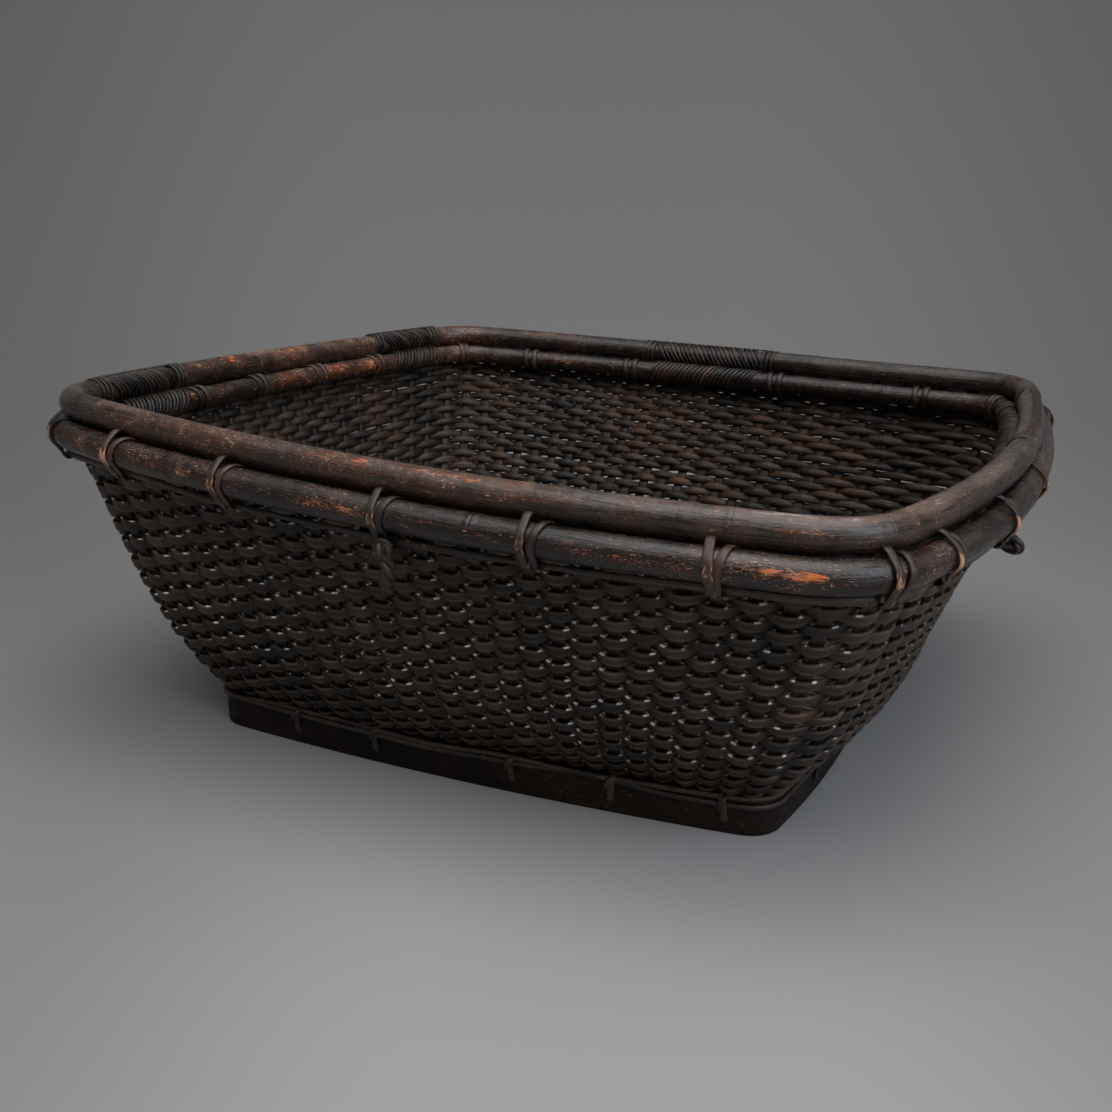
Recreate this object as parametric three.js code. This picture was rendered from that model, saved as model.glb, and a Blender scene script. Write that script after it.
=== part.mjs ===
// A square rattan basket. A woven wall leans out from a banded foot to a rim of three rattan rails, which
// strands of split cane lash together. Lengths are millimetres, +Z is up, the long front side faces -Y,
// and the foot stands on z = 0 below the middle of the rim.
import * as THREE from "three";

// Rim: the middle line of the top rail, a rectangle with bowed sides and eased corners
const rimLength = 511;
const rimWidth = 473;
const rimFrontBow = 23;
const rimSideBow = 32;
const rimCornerEase = 33;
const rimHeight = 207.2;
const rimSag = 3.5;
const rimCornerLift = 11.3;

// Rails: radii of the three rattan poles
const topRailRadius = 9.2;
const outerRailRadius = 9;
const innerRailRadius = 8;

// Foot: the middle line of the bent band that the basket stands on
const footLength = 374;
const footWidth = 335;
const footFrontBow = 9.5;
const footSideBow = 18;
const footCornerEase = 16;
const footShiftX = -3;
const footShiftY = -11;
const footTwist = THREE.MathUtils.degToRad(4.6);
const footHeight = 23;
const footBandThickness = 4;

// Woven wall and floor
const wallThickness = 3.4;
const wallBelly = 11.3;
const rightShoulder = 12.5;
const rightSlimming = 4.5;
const wallTuck = 8;
const wallHeadroom = 2.2;
const claspHeight = 10;
const plainBandHeight = 18;
const weaveDepth = 2.4;
const floorThickness = 3;

// Strands and canes
const strandThickness = 1.3;
const strandWidth = 5.4;
const windingWidth = 4.6;
const lashingEndGap = 1;
const underCaneRadius = 1.5;
const footCaneRadius = 1.5;
const stitchThickness = 1;
const stitchWidth = 4;

// Lugs: a bent cane eye under the rim, for a carrying cord
const lugCaneRadius = 2.4;
const lugEyeHeight = 5.2;
const lugOverhang = 5.5;
const lugDrop = 0.7;
const lugSeat = 0.6;

// Clearances: between touching pieces, and on each side of a strand between two rails
const seat = 0.3;
const railSeat = 0.5;
const footSeat = 0.8;
const strandClearance = 0.35;

// Counts
const sideCount = 4;
const railSides = 8;
const railStations = 72;
const footStations = 64;
const caneSides = 4;
const wallStations = 80;
const weaveRows = 11;
const rightSide = 1;
const easeSamples = 12;
const lugSides = 6;
const lugSteps = 12;
const stitchSteps = 4;

// Places round the loop: the whole number is the side (front, right, back, left) and the rest the share of
// that side's length, counted anticlockwise from above
const lashingShares = [
  0.015, 0.142, 0.314, 0.523, 0.69, 0.868, 1.024, 1.119, 1.303, 1.506, 1.914, 2.0, 2.14, 2.385, 2.649, 2.84,
  2.99, 3.242, 3.4, 3.559, 3.713,
];
const lugShares = { lug_front: 0.535, lug_right: 1.315, lug_back: 2.535, lug_left: 3.315 };
const stitchShares = [
  0.172, 0.332, 0.585, 0.755, 0.934, 1.2, 1.5, 1.8, 2.2, 2.5, 2.8, 3.2, 3.5, 3.8,
];
const windings = [
  { name: "winding_right", fromShare: 1.53, toShare: 1.89, turns: 11 },
  { name: "winding_back", fromShare: 2.41, toShare: 2.625, turns: 9 },
  { name: "winding_left_back", fromShare: 3.075, toShare: 3.22, turns: 6 },
  { name: "winding_left_front", fromShare: 3.735, toShare: 3.915, turns: 7 },
];
const wallBands = [
  { name: "woven_wall_lower", firstRow: 0, lastRow: 5 },
  { name: "woven_wall_middle", firstRow: 5, lastRow: 10 },
  { name: "woven_wall_upper", firstRow: 10, lastRow: 15 },
];
const cornerLiftShares = [1, 0, 0, 0];
const railCrowdShare = 0.65;
const footCrowdShare = 0.6;
const wallCrowdShare = 0.3;
const bellyLowShare = 0.73;
const shoulderShare = 0.15;
const slopeShare = 0.01;

// Colours of the lacquered cane, from black-brown weave to worn red-brown rails
const weaveColour = 0x241c18;
const railColour = 0x3b2a24;
const strandColour = 0x2b221e;
const footColour = 0x1f1916;

// The room that one strand needs between two pieces
const strandRoom = strandThickness + 2 * strandClearance;

// The two lower rails clasp the wall, and the top rail lies in the valley above them
const outerRail = railBelow(wallThickness / 2 + railSeat + outerRailRadius, outerRailRadius);
const innerRail = railBelow(-(wallThickness / 2 + strandRoom + innerRailRadius), innerRailRadius);
const topRail = { out: 0, up: 0, radius: topRailRadius };
const underCane = {
  out: outerRail.out,
  up: outerRail.up - outerRailRadius - seat - underCaneRadius,
  radius: underCaneRadius,
};
const wallTop = -(topRailRadius + strandRoom + wallHeadroom);
const claspFoot = wallTop - claspHeight;
const wallFoot = footHeight - wallTuck;

function railBelow(out, radius) {
  const reach = topRailRadius + radius + strandRoom;
  return { out, up: -Math.sqrt(reach * reach - out * out), radius };
}

// One point of a bowed rectangle whose corners are the whole numbers of u
function bowedPoint(loop, u) {
  const side = Math.floor(u);
  const share = u - side;
  const alongFront = side % 2 === 0;
  const half = (alongFront ? loop.length : loop.width) / 2;
  const reach = (alongFront ? loop.width : loop.length) / 2;
  const bulge = 4 * share * (1 - share);
  const along = (2 * share - 1) * half;
  const out = reach + bulge * (alongFront ? loop.frontBow : loop.sideBow);
  const turn = loop.twist + (side * Math.PI) / 2;
  const start = cornerLiftShares[side % sideCount];
  const end = cornerLiftShares[(side + 1) % sideCount];
  return new THREE.Vector3(
    loop.shiftX + along * Math.cos(turn) + out * Math.sin(turn),
    loop.shiftY + along * Math.sin(turn) - out * Math.cos(turn),
    loop.height - loop.sag * bulge + loop.lift * THREE.MathUtils.lerp(start, end, share),
  );
}

// The same point with the corners eased, by averaging the outline over a short run
function loopPoint(loop, u) {
  const run = (2 * loop.cornerEase) / (loop.length + loop.width);
  const sum = new THREE.Vector3();
  for (let k = 0; k < easeSamples; k++) {
    const shift = (2 * (k + 0.5)) / easeSamples - 1;
    const v = u + run * shift + sideCount;
    sum.add(bowedPoint(loop, v % sideCount));
  }
  return sum.divideScalar(easeSamples);
}

// A point of the loop with the outward direction there
function loopPlace(loop, u) {
  const before = loopPoint(loop, u - slopeShare);
  const after = loopPoint(loop, u + slopeShare);
  const outward = new THREE.Vector3(after.y - before.y, before.x - after.x, 0).normalize();
  return { point: loopPoint(loop, u), outward };
}

// A point that lies a given way out of a place and above it
function offset(place, out, up) {
  const point = place.point.clone().addScaledVector(place.outward, out);
  point.z += up;
  return point;
}

const rimLoop = {
  length: rimLength,
  width: rimWidth,
  frontBow: rimFrontBow,
  sideBow: rimSideBow,
  cornerEase: rimCornerEase,
  height: rimHeight,
  sag: rimSag,
  lift: rimCornerLift,
  shiftX: 0,
  shiftY: 0,
  twist: 0,
};
const footLoop = {
  length: footLength,
  width: footWidth,
  frontBow: footFrontBow,
  sideBow: footSideBow,
  cornerEase: footCornerEase,
  height: 0,
  sag: 0,
  lift: 0,
  shiftX: footShiftX,
  shiftY: footShiftY,
  twist: footTwist,
};

// Places round a loop that crowd towards its corners
function crowdedPlaces(count, crowdShare) {
  const places = [];
  for (let i = 0; i < count; i++) {
    const even = (sideCount * i) / count;
    const share = even - Math.floor(even);
    places.push(even - (crowdShare * Math.sin(2 * Math.PI * share)) / (2 * Math.PI));
  }
  return places;
}

const railPlaces = () => crowdedPlaces(railStations, railCrowdShare);
const footPlaces = () => crowdedPlaces(footStations, footCrowdShare);
const wallPlaces = () => crowdedPlaces(wallStations, wallCrowdShare);

// A closed solid through rings of points: a ring of rings where looped, and capped at both ends where not
function ringSolid(rings, looped) {
  const perRing = rings[0].length;
  const faces = [];
  const spans = looped ? rings.length : rings.length - 1;
  for (let i = 0; i < spans; i++) {
    const here = i * perRing;
    const next = ((i + 1) % rings.length) * perRing;
    for (let j = 0; j < perRing; j++) {
      const k = (j + 1) % perRing;
      faces.push([here + j, here + k, next + k], [here + j, next + k, next + j]);
    }
  }
  if (!looped) {
    const last = (rings.length - 1) * perRing;
    for (let j = 1; j < perRing - 1; j++) {
      faces.push([0, j + 1, j], [last, last + j, last + j + 1]);
    }
  }
  const points = rings.flat();
  const turned = enclosedVolume(points, faces) < 0;
  const geometry = new THREE.BufferGeometry().setFromPoints(points);
  geometry.setIndex(faces.flatMap(([a, b, c]) => (turned ? [a, c, b] : [a, b, c])));
  geometry.computeVertexNormals();
  return geometry;
}

function enclosedVolume(points, faces) {
  const cross = new THREE.Vector3();
  let sixfold = 0;
  for (const [a, b, c] of faces) {
    sixfold += cross.crossVectors(points[a], points[b]).dot(points[c]);
  }
  return sixfold / 6;
}

// A pole that follows the rim at one place of the rim's section
function poleGeometry(pole, loop, places, sides) {
  const rings = places.map((u) => {
    const place = loopPlace(loop, u);
    const ring = [];
    for (let j = 0; j < sides; j++) {
      const angle = (2 * Math.PI * j) / sides;
      const out = pole.out + pole.radius * Math.cos(angle);
      const up = pole.up + pole.radius * Math.sin(angle);
      ring.push(offset(place, out, up));
    }
    return ring;
  });
  return ringSolid(rings, true);
}

// The wall's middle surface: share 0 is at the foot band's top edge, and 1 where the lower rails clasp it
function wallPlace(u, share) {
  const foot = loopPlace(footLoop, u);
  const rim = loopPlace(rimLoop, u);
  const inset = footBandThickness / 2 + footSeat + wallThickness / 2;
  const low = offset(foot, -inset, footHeight);
  const high = offset(rim, 0, claspFoot);
  const point = low.clone().lerp(high, share);
  const outward = foot.outward.clone().lerp(rim.outward, share).normalize();
  const belly = 4 * share * (1 - share) * (1 + bellyLowShare * (1 - 2 * share));
  const right = rightFade(u);
  const swell = (wallBelly - rightSlimming * right) * belly + rightShoulder * right * shoulder(share);
  point.addScaledVector(outward, swell);
  return { point, outward };
}

// The right side bulges less than the others, and most at its middle
function rightFade(u) {
  return Math.floor(u) === rightSide ? Math.sin(Math.PI * (u - rightSide)) : 0;
}

// It bulges again just above the foot
function shoulder(share) {
  const fall = 1 / shoulderShare - 1;
  const rise = (height) => height * (1 - height) ** fall;
  return rise(share) / rise(shoulderShare);
}

// How far out of the top rail's middle line the wall's middle lies, at a height below that rail
function wallOut(u, up) {
  const rim = loopPlace(rimLoop, u);
  const share = (rim.point.z + up - footHeight) / (rim.point.z + claspFoot - footHeight);
  return wallPlace(u, Math.min(share, 1)).point.sub(rim.point).dot(rim.outward);
}

// The rows of the wall from its tucked lower edge to its top, and how far the weave stands out on each.
// The relief has the order of plain weave at a coarser pitch: over one stake and under the next.
function wallRows() {
  const plainShare = plainBandHeight / (rimHeight + claspFoot - footHeight);
  const rows = [{ share: 0, drop: footHeight - wallFoot, relief: 0 }, { share: 0, drop: 0, relief: 0 }];
  for (let k = 1; k <= weaveRows; k++) {
    const share = ((1 - plainShare) * k) / (weaveRows + 1);
    rows.push({ share, drop: 0, relief: k % 2 === 0 ? 1 : -1 });
  }
  rows.push({ share: 1 - plainShare, drop: 0, relief: 0 });
  rows.push({ share: 1, drop: 0, relief: 0 }, { share: 1, drop: -claspHeight, relief: 0 });
  return rows;
}

// The wall is made in bands of rows, one above the other
function wallGeometry(firstRow, lastRow) {
  const seamShare = seat / (rimHeight + claspFoot - footHeight);
  const rows = wallRows().slice(firstRow, lastRow + 1);
  if (firstRow > 0) rows[0].share += seamShare;
  const rings = wallPlaces().map((u, i) => {
    const outside = [];
    const inside = [];
    for (const row of rows) {
      const place = wallPlace(u, row.share);
      const wave = (i % 2 === 0 ? 1 : -1) * row.relief * (weaveDepth / 2);
      outside.push(offset(place, wave + wallThickness / 2, -row.drop));
      inside.unshift(offset(place, wave - wallThickness / 2, -row.drop));
    }
    return [...outside, ...inside];
  });
  return ringSolid(rings, true);
}

// The floor fills the wall's lower edge
function floorGeometry() {
  const inset = footBandThickness / 2 + footSeat + wallThickness + seat;
  const outline = new THREE.Shape();
  wallPlaces().forEach((u, i) => {
    const { x, y } = offset(loopPlace(footLoop, u), -inset, 0);
    if (i === 0) outline.moveTo(x, y);
    else outline.lineTo(x, y);
  });
  return new THREE.ExtrudeGeometry(outline, { depth: floorThickness, bevelEnabled: false });
}

function footBandGeometry() {
  const half = footBandThickness / 2;
  const section = [
    [half, 0],
    [half, footHeight],
    [-half, footHeight],
    [-half, 0],
  ];
  const rings = footPlaces().map((u) => {
    const place = loopPlace(footLoop, u);
    return section.map(([out, up]) => offset(place, out, up));
  });
  return ringSolid(rings, true);
}

// Steps of an arc in the rim's section, from one angle to another, with the corners of an aligned
// polygon of railSides between them
function arcSteps(pole, radius, from, to, side) {
  const pitch = (2 * Math.PI) / railSides;
  const angles = [from];
  if (to > from) {
    for (let k = Math.floor(from / pitch) + 1; k * pitch < to; k++) angles.push(k * pitch);
  } else {
    for (let k = Math.ceil(from / pitch) - 1; k * pitch > to; k--) angles.push(k * pitch);
  }
  angles.push(to);
  return angles.map((angle) => ({
    out: pole.out + radius * Math.cos(angle),
    up: pole.up + radius * Math.sin(angle),
    faceOut: side * Math.cos(angle),
    faceUp: side * Math.sin(angle),
  }));
}

const angleTo = (from, to) => Math.atan2(to.up - from.up, to.out - from.out);

// The corners of a flat strand at one step of its path, with its width laid along the loop
function strandRing(loop, u, step, width, thickness) {
  const sideLength = Math.floor(u) % 2 === 0 ? loop.length : loop.width;
  const halfShare = width / 2 / sideLength;
  const behind = loopPlace(loop, u - halfShare);
  const ahead = loopPlace(loop, u + halfShare);
  const corner = (place, face) =>
    offset(
      place,
      step.out + (face * step.faceOut * thickness) / 2,
      step.up + (face * step.faceUp * thickness) / 2,
    );
  return [corner(ahead, 1), corner(ahead, -1), corner(behind, -1), corner(behind, 1)];
}

// A lashing runs from the weave round the under cane and the outer rail, passes below the top rail, and
// goes round the inner rail back to the weave
function lashingSteps(u) {
  const caneRound = underCaneRadius + seat + strandThickness / 2;
  const outerRound = outerRailRadius + strandRoom / 2;
  const innerRound = innerRailRadius + strandRoom / 2;
  const topRound = topRailRadius + strandRoom / 2;
  const rise = outerRail.up - underCane.up;
  const leave = Math.PI / 2 - Math.acos((caneRound - outerRound) / rise);
  const down = -Math.PI / 2;
  const toOuter = angleTo(topRail, outerRail);
  const toInner = angleTo(topRail, innerRail);
  const low = { up: underCane.up - caneRound, faceOut: 0, faceUp: -1 };
  const high = { up: innerRail.up - innerRound, faceOut: 0, faceUp: -1 };
  const halfWall = wallThickness / 2 + lashingEndGap;
  return [
    { ...low, out: wallOut(u, low.up) + halfWall },
    ...arcSteps(underCane, caneRound, down, leave, 1),
    ...arcSteps(outerRail, outerRound, leave, toOuter + Math.PI, 1),
    ...arcSteps(topRail, topRound, toOuter, toInner, -1).slice(1, -1),
    ...arcSteps(innerRail, innerRound, toInner + Math.PI, down + 2 * Math.PI, 1),
    { ...high, out: wallOut(u, high.up) - halfWall },
  ];
}

function lashingGeometry(u) {
  const rings = lashingSteps(u).map((step) => strandRing(rimLoop, u, step, strandWidth, strandThickness));
  return ringSolid(rings, false);
}

// A winding binds the top and the inner rail in figures of eight, in one unbroken strand
function windingSteps() {
  const topRound = topRailRadius + strandRoom / 2;
  const innerRound = innerRailRadius + strandRoom / 2;
  const cross = angleTo(topRail, innerRail);
  const over = arcSteps(topRail, topRound, cross, cross + 2 * Math.PI, 1);
  const under = arcSteps(innerRail, innerRound, cross + Math.PI, cross - Math.PI, -1);
  return [...over.slice(0, -1), ...under.slice(0, -1)];
}

function windingGeometry(winding) {
  const steps = windingSteps();
  const count = winding.turns * steps.length;
  const rings = [];
  for (let i = 0; i <= count; i++) {
    const u = THREE.MathUtils.lerp(winding.fromShare, winding.toShare, i / count);
    rings.push(strandRing(rimLoop, u, steps[i % steps.length], windingWidth, strandThickness));
  }
  const gap = leastGap(rings, steps.length);
  console.log(`${winding.name}: ${winding.turns} figures of eight, least gap to itself ${gap.toFixed(2)} mm`);
  return ringSolid(rings, false);
}

// The least distance between the facing edges of strands that pass one place half a figure or more apart
function leastGap(rings, perTurn) {
  let least = Infinity;
  for (let i = 0; i < rings.length; i++) {
    for (let j = i + Math.floor(perTurn / 2) - 1; j < Math.min(rings.length, i + 2 * perTurn); j++) {
      for (const near of rings[i]) {
        for (const far of rings[j]) least = Math.min(least, near.distanceTo(far));
      }
    }
  }
  return least;
}

// A stitch clasps the foot's cane against the band
function stitchGeometry(u) {
  const round = footCaneRadius + seat + stitchThickness / 2;
  const reach = (2 * Math.PI) / 3;
  const rings = [];
  for (let k = 0; k <= stitchSteps; k++) {
    const angle = reach * ((2 * k) / stitchSteps - 1);
    const faceOut = Math.cos(angle);
    const faceUp = Math.sin(angle);
    const step = { out: footCane.out + round * faceOut, up: footCane.up + round * faceUp, faceOut, faceUp };
    rings.push(strandRing(footLoop, u, step, stitchWidth, stitchThickness));
  }
  return ringSolid(rings, false);
}

// A lug is a cane bent back on itself, with both ends in the weave below the rim
class LugCurve extends THREE.Curve {
  constructor(upperRun, lowerRun, bend) {
    super();
    this.upperRun = upperRun;
    this.lowerRun = lowerRun;
    this.bend = bend;
  }

  getPoint(t, target = new THREE.Vector3()) {
    const { upperRun, lowerRun, bend } = this;
    const arc = Math.PI * bend;
    const distance = t * (upperRun + arc + lowerRun);
    if (distance <= upperRun) return target.set(distance, bend, 0);
    const beyond = distance - upperRun;
    if (beyond >= arc) return target.set(upperRun + arc - beyond, -bend, 0);
    const angle = Math.PI / 2 - beyond / bend;
    return target.set(upperRun + bend * Math.cos(angle), bend * Math.sin(angle), 0);
  }
}

function lugMesh(name, u) {
  const bend = lugEyeHeight / 2 + lugCaneRadius;
  const up = underCane.up - underCaneRadius - lugDrop - lugCaneRadius - bend;
  const rootAt = (height) => wallOut(u, height + lugCaneRadius) + wallThickness / 2 + lugSeat;
  const upperRoot = rootAt(up + bend);
  const lowerRoot = rootAt(up - bend);
  const bendStart = outerRail.out + outerRailRadius + lugOverhang - bend - lugCaneRadius;
  const section = new THREE.Shape();
  for (let j = 0; j < lugSides; j++) {
    const angle = (2 * Math.PI * j) / lugSides;
    const x = lugCaneRadius * Math.cos(angle);
    const y = lugCaneRadius * Math.sin(angle);
    if (j === 0) section.moveTo(x, y);
    else section.lineTo(x, y);
  }
  const geometry = new THREE.ExtrudeGeometry(section, {
    steps: lugSteps,
    extrudePath: new LugCurve(bendStart - upperRoot, bendStart - lowerRoot, bend),
  });
  const lug = named(name, geometry, strandColour, 0.5);
  const place = loopPlace(rimLoop, u);
  const along = new THREE.Vector3(place.outward.y, -place.outward.x, 0);
  lug.quaternion.setFromRotationMatrix(
    new THREE.Matrix4().makeBasis(place.outward, new THREE.Vector3(0, 0, 1), along),
  );
  lug.position.copy(offset(place, upperRoot, up));
  return lug;
}

function named(name, geometry, color, roughness) {
  const mesh = new THREE.Mesh(geometry, new THREE.MeshStandardMaterial({ color, roughness, metalness: 0 }));
  mesh.name = name;
  return mesh;
}

const numbered = (stem, i) => `${stem}_${String(i + 1).padStart(2, "0")}`;

function rimGroup() {
  const group = new THREE.Group();
  const pole = (section, sides) => poleGeometry(section, rimLoop, railPlaces(), sides);
  group.add(named("top_rail", pole(topRail, railSides), railColour, 0.42));
  group.add(named("outer_rail", pole(outerRail, railSides), railColour, 0.42));
  group.add(named("inner_rail", pole(innerRail, railSides), railColour, 0.42));
  group.add(named("under_rail_cane", pole(underCane, caneSides), strandColour, 0.5));
  lashingShares.forEach((u, i) => {
    group.add(named(numbered("lashing", i), lashingGeometry(u), strandColour, 0.5));
  });
  for (const winding of windings) {
    group.add(named(winding.name, windingGeometry(winding), strandColour, 0.5));
  }
  for (const [name, u] of Object.entries(lugShares)) group.add(lugMesh(name, u));
  return group;
}

function bodyGroup() {
  const group = new THREE.Group();
  for (const { name, firstRow, lastRow } of wallBands) {
    group.add(named(name, wallGeometry(firstRow, lastRow), weaveColour, 0.55));
  }
  const floor = named("woven_floor", floorGeometry(), weaveColour, 0.6);
  floor.position.z = wallFoot;
  group.add(floor);
  return group;
}

const footCane = {
  out: footBandThickness / 2 + seat + footCaneRadius,
  up: footHeight - footCaneRadius,
  radius: footCaneRadius,
};

function footGroup() {
  const group = new THREE.Group();
  group.add(named("foot_band", footBandGeometry(), footColour, 0.6));
  group.add(named("foot_cane", poleGeometry(footCane, footLoop, footPlaces(), caneSides), strandColour, 0.5));
  stitchShares.forEach((u, i) => {
    group.add(named(numbered("foot_stitch", i), stitchGeometry(u), strandColour, 0.5));
  });
  return group;
}

const basket = new THREE.Group();
basket.name = "square_basket";
basket.add(bodyGroup(), rimGroup(), footGroup());

export default basket;
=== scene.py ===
# A square basket of dark lacquered rattan: a plain weave of flat strips over flat stakes, three lashed rim
# poles, small lugs and a bent foot band. Every piece follows the rim and foot lines of the frame, in metres.
import math

import bpy
import numpy as np
from mathutils import Matrix, Vector


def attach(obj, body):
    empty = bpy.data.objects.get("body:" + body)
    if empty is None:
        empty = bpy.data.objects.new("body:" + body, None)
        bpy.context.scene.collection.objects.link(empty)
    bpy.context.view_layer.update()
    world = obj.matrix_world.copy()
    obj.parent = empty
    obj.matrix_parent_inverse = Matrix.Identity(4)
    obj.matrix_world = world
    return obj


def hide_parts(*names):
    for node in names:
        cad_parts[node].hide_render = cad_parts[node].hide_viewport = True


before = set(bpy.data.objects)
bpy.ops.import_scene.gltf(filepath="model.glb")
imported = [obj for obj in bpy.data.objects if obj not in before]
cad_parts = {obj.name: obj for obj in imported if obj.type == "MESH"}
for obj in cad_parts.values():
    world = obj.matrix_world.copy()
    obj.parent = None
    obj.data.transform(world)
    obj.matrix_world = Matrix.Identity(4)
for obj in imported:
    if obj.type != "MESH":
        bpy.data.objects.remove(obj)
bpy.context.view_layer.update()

MM = 0.001
rng = np.random.default_rng(7)

# Rim line
RIM_LENGTH = 511 * MM
RIM_WIDTH = 473 * MM
RIM_FRONT_BOW = 23 * MM
RIM_SIDE_BOW = 32 * MM
RIM_CORNER_EASE = 33 * MM
EASE_STEPS = 12
RIM_HEIGHT = 207.2 * MM
RIM_SAG = 3.5 * MM
RIM_CORNER_LIFT = 11.3 * MM

# Foot line
FOOT_LENGTH = 374 * MM
FOOT_WIDTH = 335 * MM
FOOT_FRONT_BOW = 9.5 * MM
FOOT_SIDE_BOW = 18 * MM
FOOT_CORNER_EASE = 16 * MM
FOOT_SHIFT_X = -3 * MM
FOOT_SHIFT_Y = -11 * MM
FOOT_TWIST = math.radians(4.6)
FOOT_HEIGHT = 23 * MM
FOOT_BAND_THICKNESS = 4 * MM

# Rim poles: radius, and the place of the middle line out of and above the top rail's
TOP_RAIL = {"out": 0.0, "up": 0.0, "radius": 9.2 * MM}
OUTER_RAIL = {"out": 11.2 * MM, "up": -16.81 * MM, "radius": 9 * MM}
INNER_RAIL = {"out": -11.7 * MM, "up": -15.22 * MM, "radius": 8 * MM}
UNDER_CANE = {"out": 11.6 * MM, "up": -28.6 * MM, "radius": 1.5 * MM}
OUTER_TUCK = 4 * MM
TUCK_CORNER_SPREAD_SHARE = 0.1
TUCK_RIGHT_SHARE = 1.66
TUCK_RIGHT_SPREAD_SHARE = 0.3
POLE_SEAM = math.radians(-105)
POLE_SIDES = 32
POLE_SLIMMING = 0.25 * MM
POLE_WANDER_OUT = 0.25 * MM
POLE_WANDER_UP = 0.3 * MM
NODE_RISE = 0.42 * MM
NODE_SPREAD = 2.4 * MM
NODE_GROOVE = 0.5 * MM
NODE_GROOVE_SPREAD = 0.55 * MM

# Each pole's section, nodes, worn spots and pale painted highlights, and at equal steps round the loop its
# tone and how calm its surface is. A spot has its place, angle, half length, half angle and strength.
POLES = {
    "top_rail": {
        "section": TOP_RAIL,
        "nodes": (0.88, 1.03, 1.62, 2.33, 3.28, 3.62),
        "spots": [
            (0.1, 70, 0.03, 30, 0.6), (0.22, 60, 0.06, 40, 0.6), (0.34, 60, 0.03, 40, 0.7),
            (0.44, 60, 0.03, 45, 0.9), (0.485, 60, 0.02, 25, 1.2), (0.61, 58, 0.045, 13, 1.45),
            (0.57, 62, 0.03, 22, 1.1), (0.69, 24, 0.045, 8, 1.48), (0.66, 60, 0.06, 30, 0.9),
            (0.74, 40, 0.03, 35, 0.8), (0.79, 60, 0.03, 30, 1.1), (0.85, 60, 0.03, 25, 0.8),
            (0.945, 20, 0.035, 9, 1.45), (1.05, 80, 0.02, 16, 0.8), (1.2, 60, 0.05, 40, 0.5),
            (3.3, 110, 0.06, 50, 0.8), (3.45, 120, 0.08, 50, 0.8), (3.6, 120, 0.04, 60, 1.0),
            (3.67, 140, 0.04, 50, 0.6), (2.82, 120, 0.05, 50, 0.8), (2.3, 110, 0.08, 50, 0.5),
            (2.15, 110, 0.08, 50, 0.5),
        ],
        "painted_sheen": [
            (0.13, 80, 0.04, 20, 0.3), (0.93, 80, 0.05, 16, 0.5), (0.99, 72, 0.03, 20, 0.45),
            (1.12, 75, 0.07, 30, 0.3), (1.3, 70, 0.08, 30, 0.3), (0.8, 92, 0.04, 14, 0.3),
            (3.52, 100, 0.03, 25, 0.4),
        ],
        "tones": (0.1, 0.15, -0.2, 0.3, -0.4, -0.5, -0.4, 0.0, 0.1),
        "calms": (0.1, 0.0, 0.75, 1.0, 0.5, 0.1, 0.0, 0.0, 0.1),
    },
    "outer_rail": {
        "section": OUTER_RAIL,
        "nodes": (0.24, 0.63, 1.42, 2.4, 3.35),
        "spots": [
            (0.03, 0, 0.02, 40, 0.8), (0.08, 10, 0.02, 40, 0.8), (0.2, 20, 0.05, 40, 0.9),
            (0.26, 5, 0.03, 25, 0.9), (0.36, 30, 0.02, 25, 1.0), (0.44, 8, 0.035, 20, 1.3),
            (0.49, 8, 0.03, 20, 1.45), (0.57, 10, 0.05, 35, 0.7), (0.65, 0, 0.04, 25, 0.9),
            (0.74, 10, 0.04, 30, 1.1), (0.785, 0, 0.03, 20, 1.2), (0.83, -5, 0.025, 25, 0.8),
            (0.9, 20, 0.02, 25, 0.8), (0.925, 15, 0.024, 17, 1.9), (0.95, 12, 0.022, 18, 2.4),
            (1.06, 0, 0.03, 40, 0.9), (1.21, 0, 0.04, 40, 1.1), (1.45, 10, 0.06, 40, 0.5),
        ],
        "painted_sheen": [
            (0.32, 40, 0.03, 15, 0.35), (0.9, 50, 0.06, 18, 0.3), (1.1, 45, 0.08, 25, 0.3),
        ],
        # Low tones: painted shade, from the top rail above it
        "tones": (-1.1, -1.3, -1.5, -0.6, -0.8, -1.0, -1.0, -1.0, -1.1),
        "calms": (0.2, 0.25, 0.5, 0.6, 0.4, 0.3, 0.2, 0.2, 0.3),
    },
    "inner_rail": {
        "section": INNER_RAIL,
        "nodes": (0.4, 1.2, 2.2, 2.8, 3.45),
        "spots": [
            (2.75, 150, 0.08, 50, 0.8), (2.3, 140, 0.07, 50, 0.7), (2.1, 140, 0.05, 50, 0.5),
            (3.27, 150, 0.05, 50, 1.2), (3.36, 150, 0.04, 50, 1.2), (3.5, 150, 0.04, 50, 1.0),
            (3.66, 150, 0.03, 40, 0.8), (3.74, 150, 0.012, 30, 1.3),
        ],
        "painted_sheen": [],
        "tones": (-0.8, -0.8, -0.8, -0.8, -0.9, -0.9, -0.8, -0.6, -0.8),
        "calms": (0.2, 0.2, 0.2, 0.4, 0.5, 0.3, 0.1, 0.1, 0.2),
    },
}

# Cane below the outer rail
UNDER_CANE_INSET = 1 * MM
UNDER_CANE_DROP = 0.6 * MM
UNDER_CANE_WANDER_OUT = 0.5 * MM
UNDER_CANE_WANDER_UP = 0.9 * MM
UNDER_CANE_HALF_WIDTH = 2.1 * MM
UNDER_CANE_HALF_THICKNESS = 1.1 * MM

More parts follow.
